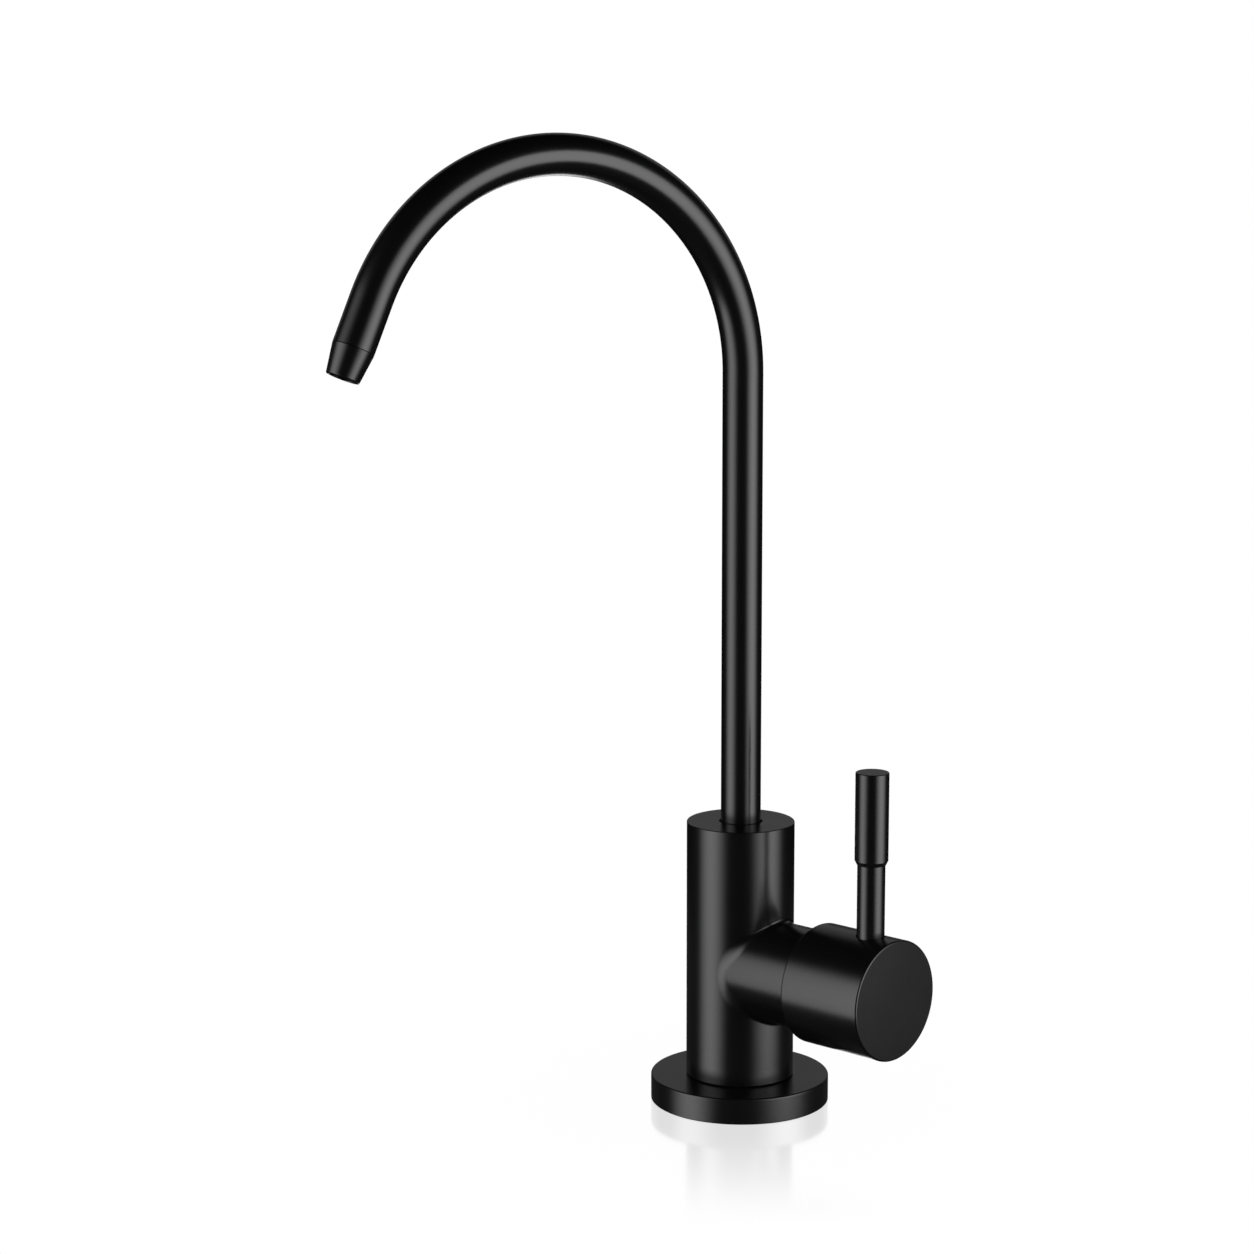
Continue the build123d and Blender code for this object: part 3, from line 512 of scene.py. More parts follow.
def perforationTree():  # pins on rings of points, taken out of a disc
    sizes = ["Disc Radius", "Thickness", "Hole Radius", "Inner Ring", "Outer Ring"]
    tree, given, calc = newTree("outletPerforation", sizes)
    disc = addNode(tree, "GeometryNodeMeshCylinder", {
        "Vertices": 96, "Radius": given["Disc Radius"], "Depth": given["Thickness"],
    })
    pin = addNode(tree, "GeometryNodeMeshCylinder", {
        "Vertices": 24, "Radius": given["Hole Radius"], "Depth": calc("MULTIPLY", given["Thickness"], 2.0),
    })
    gather = addNode(tree, "GeometryNodeJoinGeometry")
    for count, label in ((6, "Inner Ring"), (12, "Outer Ring")):
        ring = addNode(tree, "GeometryNodeMeshCircle", {"Vertices": count, "Radius": given[label]})
        tree.links.new(ring.outputs[0], gather.inputs[0])
    middle = addNode(tree, "GeometryNodeMeshLine", {"Count": 1})
    tree.links.new(middle.outputs[0], gather.inputs[0])
    planted = {"Points": gather.outputs[0], "Instance": pin.outputs["Mesh"]}
    pins = addNode(tree, "GeometryNodeRealizeInstances", {
        0: addNode(tree, "GeometryNodeInstanceOnPoints", planted).outputs[0],
    })
    drilled = {"Mesh 1": disc.outputs["Mesh"], "Mesh 2": pins.outputs[0]}
    drill = addNode(tree, "GeometryNodeMeshBoolean", drilled, solver="EXACT")
    return endTree(tree, given, drill.outputs["Mesh"])


def toothTree():  # the teeth of the lock washer, set round its rim
    sizes = ["Rim Radius", "Tooth Length", "Tooth Width", "Thickness"]
    tree, given, calc = newTree("washerTeeth", sizes, ["Teeth"])
    ring = addNode(tree, "GeometryNodeMeshCircle", {"Vertices": given["Teeth"], "Radius": given["Rim Radius"]})
    block = combine(tree, given["Tooth Length"], given["Tooth Width"], given["Thickness"])
    tooth = addNode(tree, "GeometryNodeMeshCube", {"Size": block})
    step = calc("DIVIDE", 2 * math.pi, given["Teeth"])
    turn = calc("MULTIPLY", addNode(tree, "GeometryNodeInputIndex").outputs[0], step)
    facing = combine(tree, 0.0, 0.0, turn)
    planted = {"Points": ring.outputs[0], "Instance": tooth.outputs["Mesh"], "Rotation": facing}
    return endTree(tree, given, addNode(tree, "GeometryNodeInstanceOnPoints", planted).outputs[0])


threads = threadTree()

spoutSizes = {"radius": 6.0, "wall": 1.0, "footHeight": 69.0, "stations": 300, "sides": 96}


def makeGooseneck():
    s = spoutSizes
    tube = growPiece("gooseneckTube", gooseneckTree(), {
        "Foot Height": s["footHeight"], "Riser Length": layout["arcStart"] - s["footHeight"],
        "Arc Radius": layout["arcRadius"], "Drop Length": layout["dropLength"], "Tube Radius": s["radius"],
    }, {
        "Arc Angle": math.radians(layout["arcSweep"]), "Turn": math.radians(layout["spoutTurn"]),
        "Stations": s["stations"], "Sides": s["sides"],
    })
    form = bmesh.new()
    form.from_mesh(tube.data)
    bmesh.ops.recalc_face_normals(form, faces=form.faces)
    outermost = max(form.faces, key=lambda f: f.calc_center_median().z)
    if outermost.normal.z < 0:  # the open tube gives no inside to tell by
        bmesh.ops.reverse_faces(form, faces=form.faces)
    form.to_mesh(tube.data)
    form.free()
    wall = tube.modifiers.new("wall", "SOLIDIFY")
    wall.thickness = s["wall"] * mm
    wall.offset = -1
    wall.use_even_offset = True
    freeze(tube)
    finishPiece(tube, "spout", "satin_black", "spout_tube")


tipSizes = {
    "length": 8.8, "topRadius": 6.0, "endRadius": 4.8, "lip": 0.35, "innerLip": 0.25, "joint": 0.22,
    "recess": 3.95, "recessDepth": 4.2, "bore": 3.3, "spigot": 4.95, "spigotLength": 8.0,
}


def makeTip():
    s = tipSizes
    seat = s["length"] - s["recessDepth"]
    corners = [
        (s["spigot"], -s["spigotLength"], 0.2), (s["spigot"], 0, 0),
        (s["topRadius"] - s["joint"], 0, 0), (s["topRadius"], s["joint"], 0.05),
        (s["endRadius"], s["length"], s["lip"]), (s["recess"], s["length"], s["innerLip"]),
        (s["recess"], seat, 0), (s["bore"], seat, 0), (s["bore"], -s["spigotLength"], 0),
    ]
    tip = turned("outletTip", corners, onOutlet, segments=96)
    finishPiece(tip, "spout", "satin_black", "spout_tip")


straightenerSizes = {"radius": 3.9, "thickness": 2.6, "holeRadius": 0.55, "innerRing": 1.45, "outerRing": 2.8}


def makeStraightener():
    s = straightenerSizes
    disc = growPiece("flowDisc", perforationTree(), {
        "Disc Radius": s["radius"], "Thickness": s["thickness"], "Hole Radius": s["holeRadius"],
        "Inner Ring": s["innerRing"], "Outer Ring": s["outerRing"],
    })
    seat = tipSizes["length"] - tipSizes["recessDepth"] + s["thickness"] / 2
    place = onOutlet.copy()
    place.translation *= mm
    disc.data.transform(Matrix.Translation((0, 0, seat * mm)))
    disc.data.transform(place)
    finishPiece(disc, "spout", "black_plastic", "flow_straightener")


bushSizes = {"outer": 6.45, "inner": 6.05, "low": 74.0, "high": 85.6, "outerEdge": 0.12, "innerEdge": 0.08}


def makeBush():
    s = bushSizes
    corners = [
        (s["outer"], s["low"], s["outerEdge"]), (s["outer"], s["high"], s["outerEdge"]),
        (s["inner"], s["high"], s["innerEdge"]), (s["inner"], s["low"], s["innerEdge"]),
    ]
    bush = turned("guideBush", corners, onPost, segments=96, steps=3)
    finishPiece(bush, "spout", "black_plastic", "spout_guide_bush")


for make in (makeGooseneck, makeTip, makeStraightener, makeBush):
    make()
print("spout made")

bodySizes = {
    "radius": 16.25, "foot": 7.9, "top": 86.5, "topEdge": 0.35, "footEdge": 0.6,
    "branchRadius": 15.15, "branchEnd": 31.2, "branchEdge": 0.14, "branchRim": 4,
    "blendAbove": 1.3, "blendBeside": 11.0, "blendPower": 6,
    "spigotRadius": 13.6, "spigotEnd": 35.2, "spigotEdge": 0.3, "plugRadius": 10.0, "plugFoot": 1.5,
    "holeRadius": 6.5, "holeFloor": 55.0, "holeEdge": 0.15, "clipRadius": 7.3, "clipLow": 65.0, "clipHigh": 66.3,
    "chamber": 10.45, "chamberFloor": 6.0, "chamberEnd": 33.1, "mouth": 11.6, "wayRadius": 4.0, "seatWayEnd": 8.0,
    "shankSocket": 5.6, "socketTop": 20.0,
    "outletWay": 2.6, "outletWayLength": 11.75, "outletWayFrom": (1.8, 0, 58.0), "outletWayRun": (8.6, 0, -8.0),
}


def bodyShell(around=192, along=16, back=72, filletSteps=9):
    s = bodySizes
    axis, big, small = layout["valveHeight"], s["radius"], s["branchRadius"]
    form = bmesh.new()
    turns = fullTurn(around)

    def branchRing(radius, station):
        spots = [Vector((station, radius * math.sin(t), axis + radius * math.cos(t))) for t in turns]
        return [form.verts.new(spot * mm) for spot in spots]

    outline = [
        (0, s["spigotEnd"], 0), (s["spigotRadius"], s["spigotEnd"], s["spigotEdge"]),
        (s["spigotRadius"], s["branchEnd"], 0), (small, s["branchEnd"], s["branchEdge"]),
        (small, s["branchEnd"] - s["branchRim"], 0),
    ]
    rings = [[form.verts.new(Vector((s["spigotEnd"], 0, axis)) * mm)]]
    rings += [branchRing(*p) for p in roundedOutline(outline, False, 4)[1:]]
    # the fillet is a ball rolled round the crossing; it grows where the two cylinders nearly touch
    growth = s["blendBeside"] - s["blendAbove"]
    balls = [s["blendAbove"] + growth * math.sin(t) ** s["blendPower"] for t in turns]
    centres = []
    for t, ball in zip(turns, balls):
        y = (small + ball) * math.sin(t)
        centres.append(Vector((math.sqrt((big + ball) ** 2 - y * y), y, axis + (small + ball) * math.cos(t))))
    toBranch = [Vector((0, -c.y, axis - c.z)).normalized() for c in centres]
    toPost = [Vector((-c.x, -c.y, 0)).normalized() for c in centres]
    for k in range(filletSteps + 1):
        share = k / filletSteps
        rolled = zip(centres, toBranch, toPost, balls)
        rings.append([form.verts.new((c + a.slerp(b, share) * ball) * mm) for c, a, b, ball in rolled])
    # from the fillet's foot out to the edges of the post's front half
    low, high, halfTurn = s["foot"] + s["footEdge"], s["top"] - s["topEdge"], big * math.pi / 2
    starts = [(big * math.atan2(c.y, c.x), c.z) for c in centres]
    ends = []
    for arc, height in starts:
        rise = height - axis
        sideways = halfTurn / max(abs(arc), 1e-9)
        upright = abs((high if rise > 0 else low) - axis) / max(abs(rise), 1e-9)
        reach = min(sideways, upright)
        ends.append((arc * reach, axis + rise * reach))
    for corner in ((halfTurn, high), (halfTurn, low), (-halfTurn, low), (-halfTurn, high)):
        nearest = min(range(around), key=lambda j: math.dist(ends[j], corner))
        ends[nearest] = corner
    for k in range(1, along + 1):
        share = k / along
        ring = []
        for (arc, height), (endArc, endHeight) in zip(starts, ends):
            angle, z = (arc + (endArc - arc) * share) / big, height + (endHeight - height) * share
            ring += ringAt(form, [angle], big, z)
        rings.append(ring)
    joinRings(form, rings, False)
    # the back half is a plain grid between the two sides
    edge = rings[-1]
    sides = {}
    for sign in (1, -1):
        onSide = [j for j in range(around) if abs(ends[j][0] - sign * halfTurn) < 1e-6]
        sides[sign] = [edge[j] for j in sorted(onSide, key=lambda j: ends[j][1])]
    heights = [v.co.z / mm for v in sides[1]]
    columns = [sides[1]]
    for k in range(1, back):
        angle = math.pi / 2 + math.pi * k / back
        columns.append([ringAt(form, [angle], big, z)[0] for z in heights])
    columns.append(sides[-1])
    for left, right in zip(columns, columns[1:]):
        for k in range(len(left) - 1):
            form.faces.new((left[k], right[k], right[k + 1], left[k + 1]))
    # rounded top and foot, on the same angles as the edge below or above them
    topOutline = [(big, high, 0), (big, s["top"], s["topEdge"]), (0, s["top"], 0)]
    footOutline = [
        (big, low, 0), (big, s["foot"], s["footEdge"]), (s["plugRadius"], s["foot"], 0),
        (s["plugRadius"], s["plugFoot"], 0.3), (0, s["plugFoot"], 0),
    ]
    for level, row, outline in ((high, -1, topOutline), (low, 0, footOutline)):
        atLevel = [j for j in range(around) if abs(ends[j][1] - level) < 1e-6]
        inFront = [j for j in atLevel if abs(abs(ends[j][0]) - halfTurn) > 1e-6]
        first = [edge[j] for j in sorted(inFront, key=lambda j: ends[j][0])] + [column[row] for column in columns]
        angles = [math.atan2(v.co.y, v.co.x) for v in first]
        joinRings(form, [first] + turnRings(form, roundedOutline(outline, False, 5)[2:], angles), False)
    return makeObject("tapBody", form)


def bodyNormal(point, normal):
    post, branch = Vector((point.x, point.y, 0)), Vector((0, point.y, point.z - layout["valveHeight"]))
    onPostWall = wallNormal(post, bodySizes["radius"], normal)
    return onPostWall or wallNormal(branch, bodySizes["branchRadius"], normal)


def makeBody():
    s = bodySizes
    body = bodyShell()
    axis, hole, past = layout["valveHeight"], s["holeRadius"], 1.0  # the cutters reach this far past a surface
    top, floor, clipLow, clipHigh = s["top"], s["holeFloor"], s["clipLow"], s["clipHigh"]
    outletWay = placeAt(s["outletWayFrom"], s["outletWayRun"], (0, 1, 0))
    tools = [
        cutter("spoutHole", [
            (hole, floor), (hole, clipLow), (s["clipRadius"], clipLow), (s["clipRadius"], clipHigh),
            (hole, clipHigh), (hole, top - s["holeEdge"]), (hole + s["holeEdge"] + past, top + past),
        ], onPost),
        cutter("chamber", [
            (s["chamber"], s["chamberFloor"]), (s["chamber"], s["chamberEnd"]),
            (s["mouth"], s["chamberEnd"]), (s["mouth"], s["spigotEnd"] + past),
        ], onValve),
        cutter("seatWay", [(s["wayRadius"], 0), (s["wayRadius"], s["seatWayEnd"])], onValve, 64),
        cutter("inletWay", [
            (s["shankSocket"], 0), (s["shankSocket"], s["socketTop"]),
            (s["wayRadius"], s["socketTop"]), (s["wayRadius"], axis),
        ], onPost, 66),
        cutter("outletWay", [(s["outletWay"], 0), (s["outletWay"], s["outletWayLength"])], outletWay, 40),
    ]
    shapeWith(body, tools)
    finishPiece(body, "post", "satin_black", "tap_body", material=postCoat, exactNormal=bodyNormal)


flangeSizes = {
    "radius": 27.0, "height": 7.9, "edge": 0.55, "foot": 0.3, "bore": 10.1, "boreEdge": 0.2,
    "recess": 22.0, "recessHeight": 1.5,
}


def makeFlange():
    s = flangeSizes
    corners = [
        (s["bore"], s["recessHeight"], 0), (s["recess"], s["recessHeight"], 0.15), (s["recess"], 0, 0.1),
        (s["radius"], 0, s["foot"]), (s["radius"], s["height"], s["edge"]), (s["bore"], s["height"], s["boreEdge"]),
    ]
    flange = turned("baseFlange", corners, onPost, segments=192)
    finishPiece(flange, "post", "satin_black", "base_flange", material=postCoat)


shankSizes = {
    "radius": 5.55, "root": 4.86, "pitch": 1.27, "start": -41.2, "turns": 31, "sides": 64, "runOut": 0.9,
    "top": 20.0, "tail": 4.76, "tailTop": -42.0, "tailEnd": -60.0, "bore": 3.2,
}


def growThread(form, name, sizes, start):
    sleeve = growPiece(name, threads, {
        "Crest Radius": sizes["radius"], "Root Radius": sizes["root"], "Pitch": sizes["pitch"], "Start Height": start,
    }, {"Turns": sizes["turns"], "Sides": sizes["sides"]})
    form.from_mesh(sleeve.data)
    bpy.data.objects.remove(sleeve)


def makeShank():
    s = shankSizes
    end = s["start"] + s["turns"] * s["pitch"]
    rest = [
        (s["root"], end, 0), (s["radius"], end + s["runOut"], 0.1), (s["radius"], s["top"], 0.3),
        (s["bore"], s["top"], 0.2), (s["bore"], s["tailEnd"], 0.2), (s["tail"], s["tailEnd"], 0.7),
        (s["tail"], s["tailTop"], 0), (s["root"], s["tailTop"], 0), (s["root"], s["start"], 0),
    ]
    form = bmesh.new()
    growThread(form, "shankThread", s, s["start"])
    joinRings(form, turnRings(form, roundedOutline(rest, False, 4), fullTurn(s["sides"])), False)
    bmesh.ops.remove_doubles(form, verts=form.verts, dist=seamWeld)
    bmesh.ops.dissolve_degenerate(form, dist=0.000001, edges=form.edges)
    finishPiece(makeObject("mountingShank", form), "post", "bright_steel", "threaded_shank", angle=34)


def hexagon(flats):
    corner = flats / math.sqrt(3)
    return [(corner * math.cos(math.radians(60 * k)), corner * math.sin(math.radians(60 * k))) for k in range(6)]


nutSizes = {
    "flats": 19.0, "low": -33.8, "high": -26.8, "face": 0.97, "chamfer": 1.0, "bore": 5.6, "mouth": 6.9, "lead": 0.55,
}


def makeNut():
    s = nutSizes
    low, high, past = s["low"], s["high"], 1.0
    corner, face = s["flats"] / math.sqrt(3) + 0.01, s["flats"] / 2 * s["face"]
    nut = prism("mountingNut", hexagon(s["flats"]), low, high, onPost)
    blank = cutter("blank", [
        (face, low), (corner, low + s["chamfer"]), (corner, high - s["chamfer"]), (face, high),
    ], onPost, 96)
    bore = cutter("bore", [
        (s["mouth"], low - past), (s["bore"], low + s["lead"]),
        (s["bore"], high - s["lead"]), (s["mouth"], high + past),
    ], onPost, 96)
    shapeWith(nut, [blank], "INTERSECT")
    shapeWith(nut, [bore])
    finishPiece(nut, "post", "bare_brass", "mounting_nut")


lockSizes = {
    "outer": 8.2, "inner": 5.85, "low": -26.8, "high": -26.0, "toothLength": 2.8, "toothWidth": 1.9, "teeth": 12,
}


def makeLockWasher():
    s = lockSizes
    outer, inner, low, high = s["outer"], s["inner"], s["low"], s["high"]
    corners = [(outer, low, 0), (outer, high, 0), (inner, high, 0), (inner, low, 0)]
    washer = turned("lockWasher", corners, onPost, segments=96)
    teeth = growPiece("teeth", toothTree(), {
        "Rim Radius": outer, "Tooth Length": s["toothLength"], "Tooth Width": s["toothWidth"], "Thickness": high - low,
    }, {"Teeth": s["teeth"]})
    teeth.data.transform(Matrix.Translation((0, 0, (low + high) / 2 * mm)))
    shapeWith(washer, [teeth], "UNION")
    finishPiece(washer, "post", "bright_steel", "lock_washer")


ringSizes = {
    "outer": 14.95, "inner": 13.65, "start": 31.2, "end": 35.0,
    "grooveDepth": 0.8, "grooveFloor": 0.6, "grooveWidth": 1.0,
}


def makeGlideRing():  # its groove draws the dark seam between branch and hub
    s = ringSizes
    start, groove = s["start"], s["outer"] - s["grooveDepth"]
    corners = [
        (groove, start, 0.1), (groove, start + s["grooveFloor"], 0.05), (s["outer"], start + s["grooveWidth"], 0.05),
        (s["outer"], s["end"], 0.15), (s["inner"], s["end"], 0.15), (s["inner"], start, 0.15),
    ]
    finishPiece(turned("glideRing", corners, onValve, steps=3), "post", "black_plastic", "glide_ring")


washerSizes = {  # node, slot, outer and inner radius, low and high, rounding of the outer edge
    "baseGasket": ("base_gasket", "black_rubber", 21.9, 5.85, 0.0, 1.5, 0.2),
    "deckWasher": ("deck_washer", "black_rubber", 16.0, 5.85, -22.0, -20.0, 0.35),
    "spacerWasher": ("spacer_washer", "black_plastic", 14.5, 5.85, -26.0, -22.0, 0.5),
}


def makeWashers():
    for name, (node, slotName, outer, inner, low, high, edge) in washerSizes.items():
        innerEdge = edge * 0.6
        corners = [(outer, low, edge), (outer, high, edge), (inner, high, innerEdge), (inner, low, innerEdge)]
        finishPiece(turned(name, corners, onPost, segments=96, steps=4), "post", slotName, node)


for make in (makeBody, makeFlange, makeShank, makeNut, makeLockWasher, makeGlideRing, makeWashers):
    make()
print("post made")

hubSizes = {
    "radius": 17.95, "start": 31.65, "end": 60.3, "frontEdge": 0.6, "rearEdge": 0.7,
    "skirt": 15.0, "skirtEnd": 46.6, "skirtMouth": 0.2, "skirtFloor": 0.5,
    "splineCrest": 4.05, "splineRoot": 3.6, "splineTeeth": 20, "socketEnd": 54.9,
    "pocket": 4.32, "pocketDepth": 3.0, "pinHole": 3.05, "pinRise": 5.3, "screwHole": 2.05,
    "aboveHub": 64.0, "belowHub": 22.0,
}


def splinePoints(crest, root, teeth):
    points = []
    for tooth in range(teeth):
        for share, radius in zip((0.0, 0.25, 0.5, 0.75), (root, crest, crest, root)):
            angle = 2 * math.pi * (tooth + share) / teeth
            points.append((radius * math.cos(angle), radius * math.sin(angle)))
    return points


def hubNormal(point, normal):
    return wallNormal(Vector((0, point.y, point.z - layout["valveHeight"])), hubSizes["radius"], normal)


def makeHub():
    s = hubSizes
    corners = [
        (0, s["end"], 0), (s["radius"], s["end"], s["frontEdge"]), (s["radius"], s["start"], s["rearEdge"]),
        (s["skirt"], s["start"], s["skirtMouth"]), (s["skirt"], s["skirtEnd"], s["skirtFloor"]),
        (0, s["skirtEnd"], 0),
    ]
    hub = turned("handleHub", corners, onValve, closed=False, segments=192)
    axis = layout["valveHeight"]
    seat, pinFloor = axis + s["radius"] - s["pocketDepth"], axis + s["pinRise"]
    spline = splinePoints(s["splineCrest"], s["splineRoot"], s["splineTeeth"])
    tools = [
        prism("splineSocket", spline, s["skirtEnd"] - 1, s["socketEnd"], onValve),
        cutter("leverPocket", [
            (s["pinHole"], pinFloor), (s["pinHole"], seat), (s["pocket"], seat), (s["pocket"], s["aboveHub"]),
        ], onLever, 96),
        cutter("screwHole", [(s["screwHole"], s["belowHub"]), (s["screwHole"], axis - 1)], onLever, 64),
    ]
    shapeWith(hub, tools)
    finishPiece(hub, "handle", "satin_black", "handle_hub", material=hubCoat, exactNormal=hubNormal)


screwSizes = {
    "radius": 2.0, "root": 1.62, "pitch": 0.7, "turns": 7, "sides": 48, "low": 32.3, "high": 38.3,
    "lead": 0.35, "taper": 0.2, "socket": 2.0, "socketDepth": 2.4,
}


def makeGrubScrew():
    s = screwSizes
    start = s["low"] + s["lead"]
    end = start + s["turns"] * s["pitch"]
    form = bmesh.new()
    growThread(form, "screwThread", s, start)
    upper = [(s["root"], end, 0), (s["root"] - s["taper"], s["high"], 0.1), (0, s["high"], 0)]
    lower = [(s["root"], start, 0), (s["root"], s["low"], 0.15), (0, s["low"], 0)]
    for outline in (upper, lower):
        joinRings(form, turnRings(form, roundedOutline(outline, False, 3), fullTurn(s["sides"])), False)
    bmesh.ops.remove_doubles(form, verts=form.verts, dist=seamWeld)
    screw = makeObject("grubScrew", form)
    screw.data.transform(Matrix.Translation((layout["leverStation"] * mm, 0, 0)))
    shapeWith(screw, [prism("hexSocket", hexagon(s["socket"]), s["low"] - 1, s["low"] + s["socketDepth"], onLever)])
    finishPiece(screw, "handle", "bright_steel", "hub_grub_screw", angle=34)


leverSizes = {
    "rod": 4.1, "thread": 3.0, "low": 48.0, "seat": 57.35, "rodTop": 105.0,
    "grip": 4.925, "gripLow": 81.6, "gripTop": 109.0, "topEdge": 0.35, "gripPlay": 0.05,
    "chamferLength": 1.3, "chamferDepth": 0.65,
}


def makeLever():
    s = leverSizes
    rod = turned("leverRod", [
        (0, s["low"], 0), (s["thread"], s["low"], 0.3), (s["thread"], s["seat"], 0), (s["rod"], s["seat"], 0.1),
        (s["rod"], s["rodTop"], 0.2), (0, s["rodTop"], 0),
    ], onLever, closed=False, segments=96)
    bore = s["rod"] + s["gripPlay"]
    grip = turned("leverGrip", [
        (0, s["gripTop"], 0), (s["grip"], s["gripTop"], s["topEdge"]),
        (s["grip"], s["gripLow"] + s["chamferLength"], 0.12), (s["grip"] - s["chamferDepth"], s["gripLow"], 0.03),
        (bore, s["gripLow"], 0), (bore, s["rodTop"], 0), (0, s["rodTop"], 0),
    ], onLever, closed=False, segments=128)
    finishPiece(rod, "handle", "satin_black", "lever_rod", material=leverCoat)
    finishPiece(grip, "handle", "satin_black", "lever_grip", material=leverCoat, angle=20)


for make in (makeHub, makeGrubScrew, makeLever):
    make()
print("handle made")

# the pieces inside keep the part's own solids and only get a finish
insidePieces = (
    (finishes["bare_brass"], "spout_foot"),
    (finishes["bright_steel"], "spout_clip", "spindle_clip"),
    (finishes["black_rubber"], "spout_o_rings", "housing_o_ring", "seat_seal", "stem_o_rings"),
    (finishes["ceramic"], "fixed_disc", "moving_disc"),
    (valveBrass, "valve_housing", "valve_spindle"),
)
for material, *names in insidePieces:
    for name in names:
        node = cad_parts[name]
        node.data.materials.clear()
        node.data.materials.append(material)
print("inside pieces finished")

# the stage is in metres and degrees
view = {
    "azimuth": 41.677, "distance": 0.9102, "height": 0.2997, "pitch": 9.614, "yaw": -2.152, "roll": 0.079,
    "lens": 88.876, "sensor": 36.0, "near": 0.01, "far": 50.0,
}
stageLook = {
    "surroundings": 0.004, "haze": 0.27, "hazeLow": 6.0, "hazeHigh": 34.0, "hazeWidth": 0.9,
    "backdropDistance": 5.0, "backdropAngle": 11.45, "backdropMargin": 1.06, "backdropInCoat": 0.03,
    "floorRadius": 0.30, "fadeStart": 0.20, "fadeEnd": 0.98, "floorInCoat": 0.03,
    # the floor's painted shade round the foot fades out between the next two radii
    "footShadeStart": 0.03, "footShadeEnd": 0.115, "mirrorBlur": 0.12,
}
lamps = {
    "leftSoftbox": {
        "angle": -64.0, "distance": 0.87, "width": 1.32, "low": -0.42, "high": 0.85,
        "fadeLow": 0.08, "fadeHigh": 0.36, "level": 3.3,
    },
    "rightSoftbox": {
        "angle": 60.5, "distance": 0.87, "width": 1.50, "low": -0.34, "high": 0.62,
        "fadeLow": 0.18, "fadeHigh": 0.14, "level": 4.1,
    },
    "rearSoftbox": {  # it shows only in views from behind
        "angle": 180.0, "distance": 0.87, "width": 0.36, "low": -0.60, "high": 0.0,
        "fadeLow": 0.25, "fadeHigh": 0.15, "level": 3.4,
    },
}


def makeCamera():
    v = view
    pitch, yaw, roll = (math.radians(v[k]) for k in ("pitch", "yaw", "roll"))
    ahead = Vector((math.sin(yaw) * math.cos(pitch), math.cos(yaw) * math.cos(pitch), -math.sin(pitch)))
    right = Vector((math.cos(yaw), -math.sin(yaw), 0))
    down = ahead.cross(right)
    across = right * math.cos(roll) + down * math.sin(roll)
    below = down * math.cos(roll) - right * math.sin(roll)
    pose = Matrix((across, -below, -ahead)).transposed().to_4x4()
    pose.translation = Vector((0, -v["distance"], v["height"]))
    data = bpy.data.cameras.new("camera")
    data.lens, data.sensor_width, data.clip_start, data.clip_end = v["lens"], v["sensor"], v["near"], v["far"]
    camera = newObject("camera", data)
    camera.matrix_world = Matrix.Rotation(math.radians(v["azimuth"]), 4, "Z") @ pose
    bpy.context.scene.camera = camera
    return camera


def newGlow(name):
    material = bpy.data.materials.new(name)
    material.use_nodes = True
    tree = material.node_tree
    tree.nodes.clear()
    rays = tree.nodes.new("ShaderNodeLightPath").outputs
    direct = addMath(tree, "MAXIMUM", rays["Is Camera Ray"], rays["Is Transmission Ray"])
    return material, tree, direct, rays["Is Glossy Ray"]


def hangBackdrop(camera):  # it hangs on the camera, so that every view has it behind
    look = stageLook
    away = look["backdropDistance"]
    half = away * math.tan(math.radians(look["backdropAngle"])) * look["backdropMargin"]
    pitch = math.radians(view["pitch"])
    low = max(half, away * math.tan(math.radians(look["hazeLow"]) + pitch))
    high = away * math.tan(math.radians(look["hazeHigh"]) + pitch)
    cards = (  # half width, bottom, top, and how strongly the camera and the coat see it
        ("backdrop", half, -half, half, 1.0, look["backdropInCoat"]),
        ("haze", away * look["hazeWidth"], low, high, 0.0, look["haze"]),
    )
    for name, side, bottom, top, toCamera, toCoat in cards:
        mesh = bpy.data.meshes.new(name)
        corners = [(-side, bottom, -away), (side, bottom, -away), (side, top, -away), (-side, top, -away)]
        mesh.from_pydata(corners, [], [(0, 1, 2, 3)])
        card = newObject(name, mesh)
        card.parent = camera
        material, tree, direct, glossy = newGlow(name + "White")
        mirrored = addMath(tree, "MULTIPLY", glossy, toCoat)
        seen = addMath(tree, "MAXIMUM", addMath(tree, "MULTIPLY", direct, toCamera), mirrored)
        glow = addNode(tree, "ShaderNodeEmission", {"Strength": seen})
        addNode(tree, "ShaderNodeOutputMaterial", {"Surface": glow.outputs[0]})
        mesh.materials.append(material)


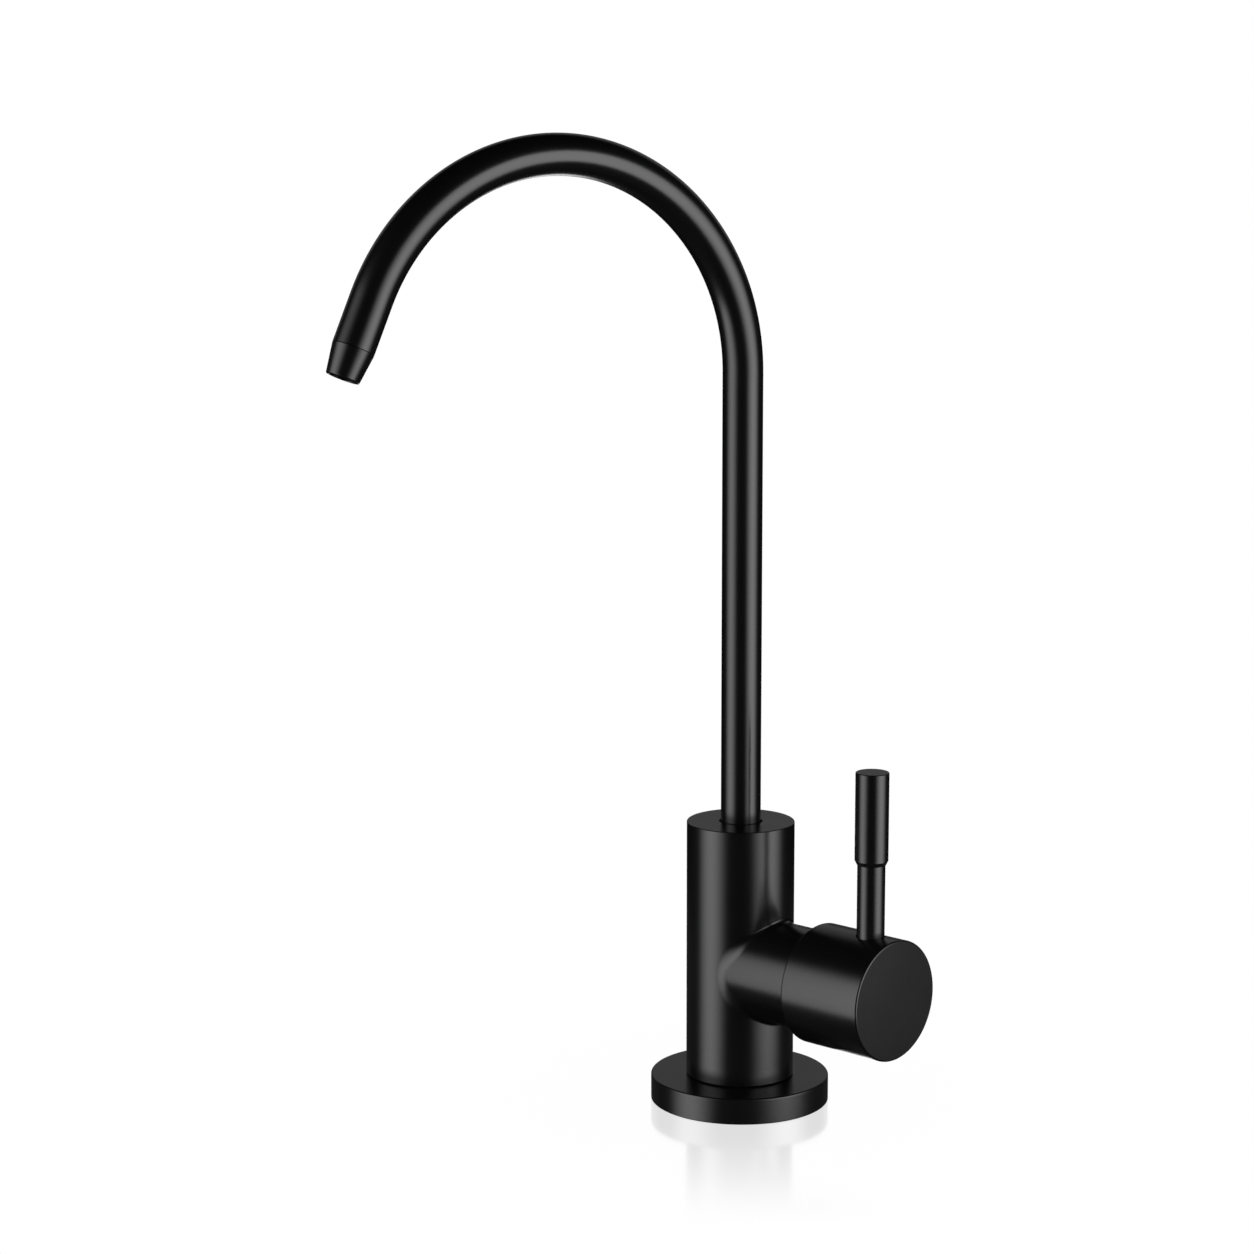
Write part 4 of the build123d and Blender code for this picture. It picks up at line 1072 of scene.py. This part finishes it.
def layFloor():
    look = stageLook
    form = bmesh.new()
    bmesh.ops.create_circle(form, cap_ends=True, segments=128, radius=look["floorRadius"])
    floor = makeObject("floor", form)
    material, tree, direct, glossy = newGlow("polishedFloor")
    calc = partial(addMath, tree)
    place = addNode(tree, "ShaderNodeTexCoord").outputs["Object"]
    radius = vectorMath(tree, "LENGTH", {0: place}, "Value")
    solid = rangeOver(tree, radius, look["fadeStart"], look["floorRadius"] * look["fadeEnd"], 1.0, 0.0)
    # the polish wears off away from the foot
    # near the foot the floor's glow is painted darker by the haze level and the mirror gives it back from the haze
    # card, so the tap's reflection shows as painted shade that fades out away from the foot
    paintedFootShade = rangeOver(tree, radius, look["footShadeStart"], look["footShadeEnd"], 1.0, 0.0)
    seen = calc("MAXIMUM", direct, calc("MULTIPLY", glossy, look["floorInCoat"]))
    pale = calc("SUBTRACT", 1.0, calc("MULTIPLY", paintedFootShade, look["haze"]))
    glow = addNode(tree, "ShaderNodeEmission", {"Strength": pale})
    mirror = addNode(tree, "ShaderNodeBsdfAnisotropic", {"Roughness": look["mirrorBlur"], "Color": paintedFootShade})
    both = addNode(tree, "ShaderNodeAddShader", {0: mirror.outputs[0], 1: glow.outputs[0]})
    clear = addNode(tree, "ShaderNodeBsdfTransparent")
    fromAbove = calc("SUBTRACT", 1.0, addNode(tree, "ShaderNodeNewGeometry").outputs["Backfacing"])
    share = calc("MULTIPLY", calc("MULTIPLY", solid, fromAbove), seen)
    mix = addNode(tree, "ShaderNodeMixShader", {"Fac": share, 1: clear.outputs[0], 2: both.outputs[0]})
    addNode(tree, "ShaderNodeOutputMaterial", {"Surface": mix.outputs[0]})
    floor.data.materials.append(material)


def addLamp(name, settings):
    turn = math.radians(view["azimuth"] + settings["angle"])
    direction = Vector((math.sin(turn), -math.cos(turn), 0))
    height = settings["high"] - settings["low"]
    data = bpy.data.lights.new(name, "AREA")
    data.shape, data.size, data.size_y = "RECTANGLE", settings["width"], height
    data.energy = settings["level"] * math.pi * settings["width"] * height
    # the light fades from the middle to both sides, and over a short way at the top and bottom
    data.use_nodes = True
    tree = data.node_tree
    split = separate(tree, addNode(tree, "ShaderNodeNewGeometry").outputs["Parametric"])
    strength = 1.0
    for side, start, end in (
        ("X", 0.0, 0.5), ("X", 1.0, 0.5), ("Y", 0.0, settings["fadeLow"]), ("Y", 1.0, 1.0 - settings["fadeHigh"]),
    ):
        strength = addMath(tree, "MULTIPLY", rangeOver(tree, split[side], start, end, 0.0, 1.0), strength)
    plug(tree, strength, tree.nodes["Emission"].inputs["Strength"])
    lamp = newObject(name, data)
    lamp.location = direction * settings["distance"] + Vector((0, 0, (settings["high"] + settings["low"]) / 2))
    lamp.rotation_mode = "QUATERNION"
    lamp.rotation_quaternion = (-direction).to_track_quat("-Z", "Y")
    lamp.visible_camera = False


hangBackdrop(makeCamera())
layFloor()
for name, settings in lamps.items():
    addLamp(name, settings)
world = bpy.data.worlds.new("world")
bpy.context.scene.world = world
world.use_nodes = True
world.node_tree.nodes["Background"].inputs["Color"].default_value = (*[stageLook["surroundings"]] * 3, 1)
bpy.context.scene.view_settings.view_transform = "Standard"
print("stage made")
